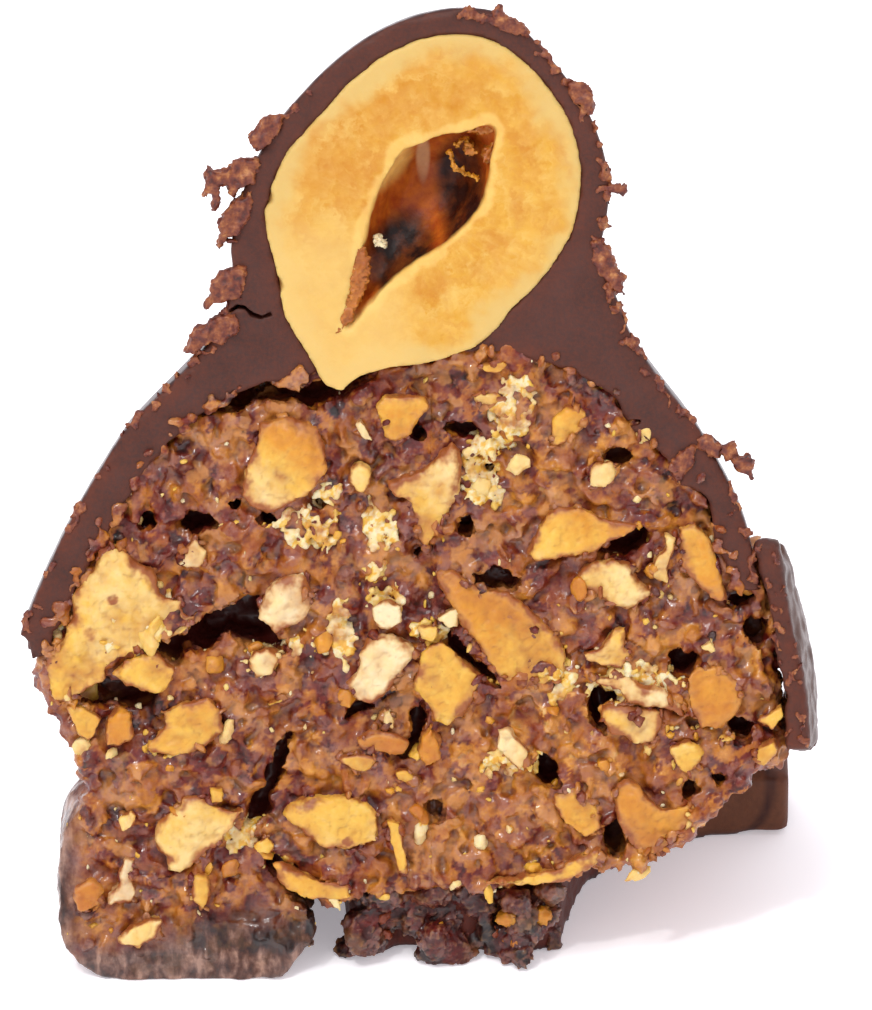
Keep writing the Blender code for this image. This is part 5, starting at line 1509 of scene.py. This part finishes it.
def nutFinish():
    material, shader, add = newFinish("nutFinish", Subsurface_Weight=0.2, Subsurface_Scale=0.0006,
                                      Subsurface_Radius=(1.0, 0.5, 0.2))
    toast, buried, sides, crevice = (markOf(add, name) for name in ("toast", "buried", "sides", "crevice"))
    slow, quick, patches = mottledAs(add, "nut")
    value = plus(add, plus(add, times(add, toast, 0.85), slow, 0.3), quick, 0.2)
    colour = ramp(add, worked(add, "ADD", value, -0.24, use_clamp=True), colours["nut"])
    # brown paste left along the sides where a piece meets the filling
    chopped = worked(add, "GREATER_THAN", buried, 0.0001)
    smear = times(add, times(add, ranged(add, buried, 0.42, 0.08), patches), chopped)
    colour = mixed(add, times(add, smear, 0.9), colour, mixed(add, quick, *map(paint, colours["nutSmear"])))
    # the film of paste drawn over a piece from its sides
    wash = ranged(add, plus(add, sides, patches, 0.9), 0.75, 1.5, interpolation_type="SMOOTHSTEP")
    film = mixed(add, wash, paint(colours["thinFilm"]), mixed(add, quick, *map(paint, colours["thickFilm"])))
    colour = mixed(add, times(add, wash, worked(add, "GREATER_THAN", sides, 0.001)), colour, film)
    # painted shade: the crevices of the pieces are darkened
    colour = mixed(add, ranged(add, crevice, 0.05, 1.0, 0.0, 0.8), colour, paint(colours["nutPaintedCreviceShade"]))
    setOn(shader, Base_Color=colour, Roughness=ranged(add, quick, 0.0, 1.0, 0.36, 0.6),
          Normal=useGroup(add, brokenGrain, Size=0.3, Strength=0.5))
    return material


def kernelFinish():
    material, shader, add = newFinish("kernelFinish", Subsurface_Weight=0.2, Subsurface_Scale=0.0007,
                                      Subsurface_Radius=(1.0, 0.5, 0.2), Specular_IOR_Level=0.3)
    pale, gold, orange = [paint(rgb, 0.86) for rgb in colours["kernel"]]
    rim, lip = markOf(add, "rim"), markOf(add, "lip")
    slow, quick, streaky = mottledAs(add, "kernel")
    ragged = worked(add, "MULTIPLY_ADD", slow, 1.1, -0.55)
    colour = mixed(add, times(add, patchAt(add, "kernelTop"), slow), gold, orange)
    away = times(add, ranged(add, lip, 0.3, 0.9), ranged(add, lip, 2.8, 1.4))
    colour = mixed(add, times(add, times(add, away, streaky), 0.75), colour, orange)
    colour = mixed(add, times(add, quick, 0.35), colour, paint(colours["kernelSpeck"]))
    # smears around the hollow and faint streaks that run out from it
    x, _, z = axesOf(add, inMillimetres(add))
    across, up = (worked(add, "ADD", axis, -middle)
                  for axis, middle in zip((x, z), finishPlaces["raysMiddle"]))
    outwards = add("CombineXYZ", {0: across, 1: up}).outputs[0]
    around = add("VectorMath", {0: outwards}, operation="NORMALIZE").outputs[0]
    reach = worked(add, "SQRT", worked(add, "ADD", times(add, across, across), times(add, up, up)))
    for turns, steps, share in ((2.6, 1.5, 0.55), (8.0, 0.7, 0.25)):
        outward = add("CombineXYZ", {2: plus(add, quick, reach, steps)}).outputs[0]
        spun = add("VectorMath", {0: around, "Scale": turns}, operation="SCALE").outputs[0]
        spun = add("VectorMath", {0: spun, 1: outward}, operation="ADD").outputs[0]
        rays = noiseAt(add, spun, 1.0, 4.0, Roughness=0.6)
        for name, first, last, strength in (("darkRay", 0.5, 0.7, 0.95), ("lightRay", 0.46, 0.3, 0.92)):
            ray = ranged(add, rays, first, last, 0.0, share)
            colour = mixed(add, ray, colour, paint(colours[name], strength))
    outer = ranged(add, worked(add, "ADD", rim, ragged), 1.1, 0.1, 0.0, 0.9, interpolation_type="SMOOTHSTEP")
    colour = mixed(add, outer, colour, pale)
    colour = mixed(add, times(add, patchAt(add, "kernelFoot"), 0.7), colour, paint(colours["kernelFoot"]))
    # the lip round the hollow: paler in its own colour, with a painted highlight along its raised rim
    inner = ranged(add, plus(add, lip, ragged, 0.5), 0.34, 0.12, interpolation_type="SMOOTHSTEP")
    colour = mixed(add, times(add, inner, 0.5), colour, paint(colours["kernelLipPaleAndHighlight"]))
    # painted light: the lining and its patches are painted brighter than they look, to make up for the shade
    # inside the hollow
    lining = mixed(add, quick, *[paint(rgb, 1.6) for rgb in colours["lining"]])
    liningPatches = {"liningPale": 0.85, "liningRight": 1.0, "liningFoot": 1.0, "liningThread": 0.6}
    for name, share in liningPatches.items():
        spot = times(add, patchAt(add, name), ranged(add, streaky, 0.1, 0.7, share * 0.75, share))
        lining = mixed(add, spot, lining, paint(colours[name], 1.3))
    colour = mixed(add, useGroup(add, behindCut, From=0.05, To=0.35), colour, lining)
    setOn(shader, Base_Color=colour, Roughness=ranged(add, quick, 0.0, 1.0, 0.42, 0.58),
          Normal=useGroup(add, brokenGrain, Size=0.5, Strength=0.6, Height=0.08))
    return material


studio = {  # places and sizes in mm
    "look": (0.55, -1.0, 16.7), "back": 450.0, "lens": 465.0, "elevation": 30.0,
    "keyPlace": (-120, -190, 620), "keySize": 240, "keyWatts": 1.6,
    "sparkPlace": (-150, -230, 420), "sparkSize": 24, "sparkWatts": 0.45,  # small, for the glints
    "overhead": (1.08, 1.05, 1.1, 1.0), "horizon": (0.8, 0.78, 0.83, 1.0), "skyRise": 0.45,
    "floor": (0.93, 0.93, 0.93, 1.0), "floorGlow": (0.98, 0.93, 1.0, 1.0), "glowStrength": 0.3,
    "floorSize": 4000, "floorHeight": -0.05,  # a hair under the foot, so that the two don't flicker
}


def floorFinish():
    material, *_ = newFinish("floorFinish", Roughness=0.9, Specular_IOR_Level=0.1, Base_Color=studio["floor"],
                             Emission_Color=studio["floorGlow"], Emission_Strength=studio["glowStrength"])
    return material


chocolate, paste, nutFlesh, burr = chocolateFinish(), pasteFinish(), nutFinish(), burrFinish()
print("stage 12: finishes are ready")


def settled(obj, material, node=None):
    # into metres, with its finish, riding on the one body
    obj.data.materials.clear()
    obj.data.materials.append(material)
    obj.scale = (1 / perMetre,) * 3
    applyPlace(obj)
    bpy.ops.object.shade_smooth()
    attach(obj, "root")
    if node:
        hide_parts(node)


def halved(obj, name, x):
    # the same mesh as two pieces that meet at x
    other = sliced(copyOf(obj, name), (x, 0, 0), (-1, 0, 0))
    sliced(obj, (x, 0, 0), (1, 0, 0))
    return other


pasteSplit = 0.37  # x in mm: the paste's face is two pieces, so that neither has too many triangles
pasteRight = halved(pasteFace, "pasteFaceRight", pasteSplit)
settled(coat, chocolate, "chocolate_coat")
settled(plate, chocolate, "coat_plate")
settled(edgeBurrs, burr)
settled(baseDebris, paste)
settled(borderCrumbs, paste)
for obj in (pasteFace, pasteRight, pasteCore):
    settled(obj, paste, "filling")
settled(choppedNuts, nutFlesh)
settled(debrisNuts, nutFlesh)
settled(nut, kernelFinish(), "hazelnut")
settled(hollowCrumbs, nutFlesh)
for crumbs in scattered:
    settled(crumbs, nutFlesh)
settled(filmCrumbs, paste)

# Floor, light and camera
floor = newBody("floor", bpy.ops.mesh.primitive_plane_add, size=studio["floorSize"] / perMetre,
                location=(0, 0, studio["floorHeight"] / perMetre))
floor.data.materials.append(floorFinish())
floor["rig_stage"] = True

world = bpy.data.worlds.new("softRoom")
bpy.context.scene.world = world
world.use_nodes = True
add = nodesOf(world.node_tree, "ShaderNode")
skyward = ranged(add, axesOf(add, add("TexCoord").outputs["Generated"])[2], 0.0, studio["skyRise"])
give(world.node_tree.nodes["Background"].inputs["Color"],
     mixed(add, skyward, studio["horizon"], studio["overhead"]))


def aimedAt(place, look):
    return (Vector(look) - Vector(place)).to_track_quat("-Z", "Y").to_euler()


for name in ("key", "spark"):
    place = studio[name + "Place"]
    bpy.ops.object.light_add(type="AREA", location=[c / perMetre for c in place],
                             rotation=aimedAt(place, studio["look"]))
    light = bpy.context.object
    light.name = name + "Light"
    light.data.size = studio[name + "Size"] / perMetre
    light.data.energy = studio[name + "Watts"]

rise = math.radians(studio["elevation"])
eye = Vector(studio["look"]) + studio["back"] * Vector((0, -math.cos(rise), math.sin(rise)))
bpy.ops.object.camera_add(location=eye / perMetre, rotation=(math.pi / 2 - rise, 0, 0))
camera = bpy.context.object
camera.name = "camera"
camera.data.lens = studio["lens"]
camera.data.sensor_width = 36
camera.data.clip_start = 0.01
bpy.context.scene.camera = camera

low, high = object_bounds()
print("stage 13: done")
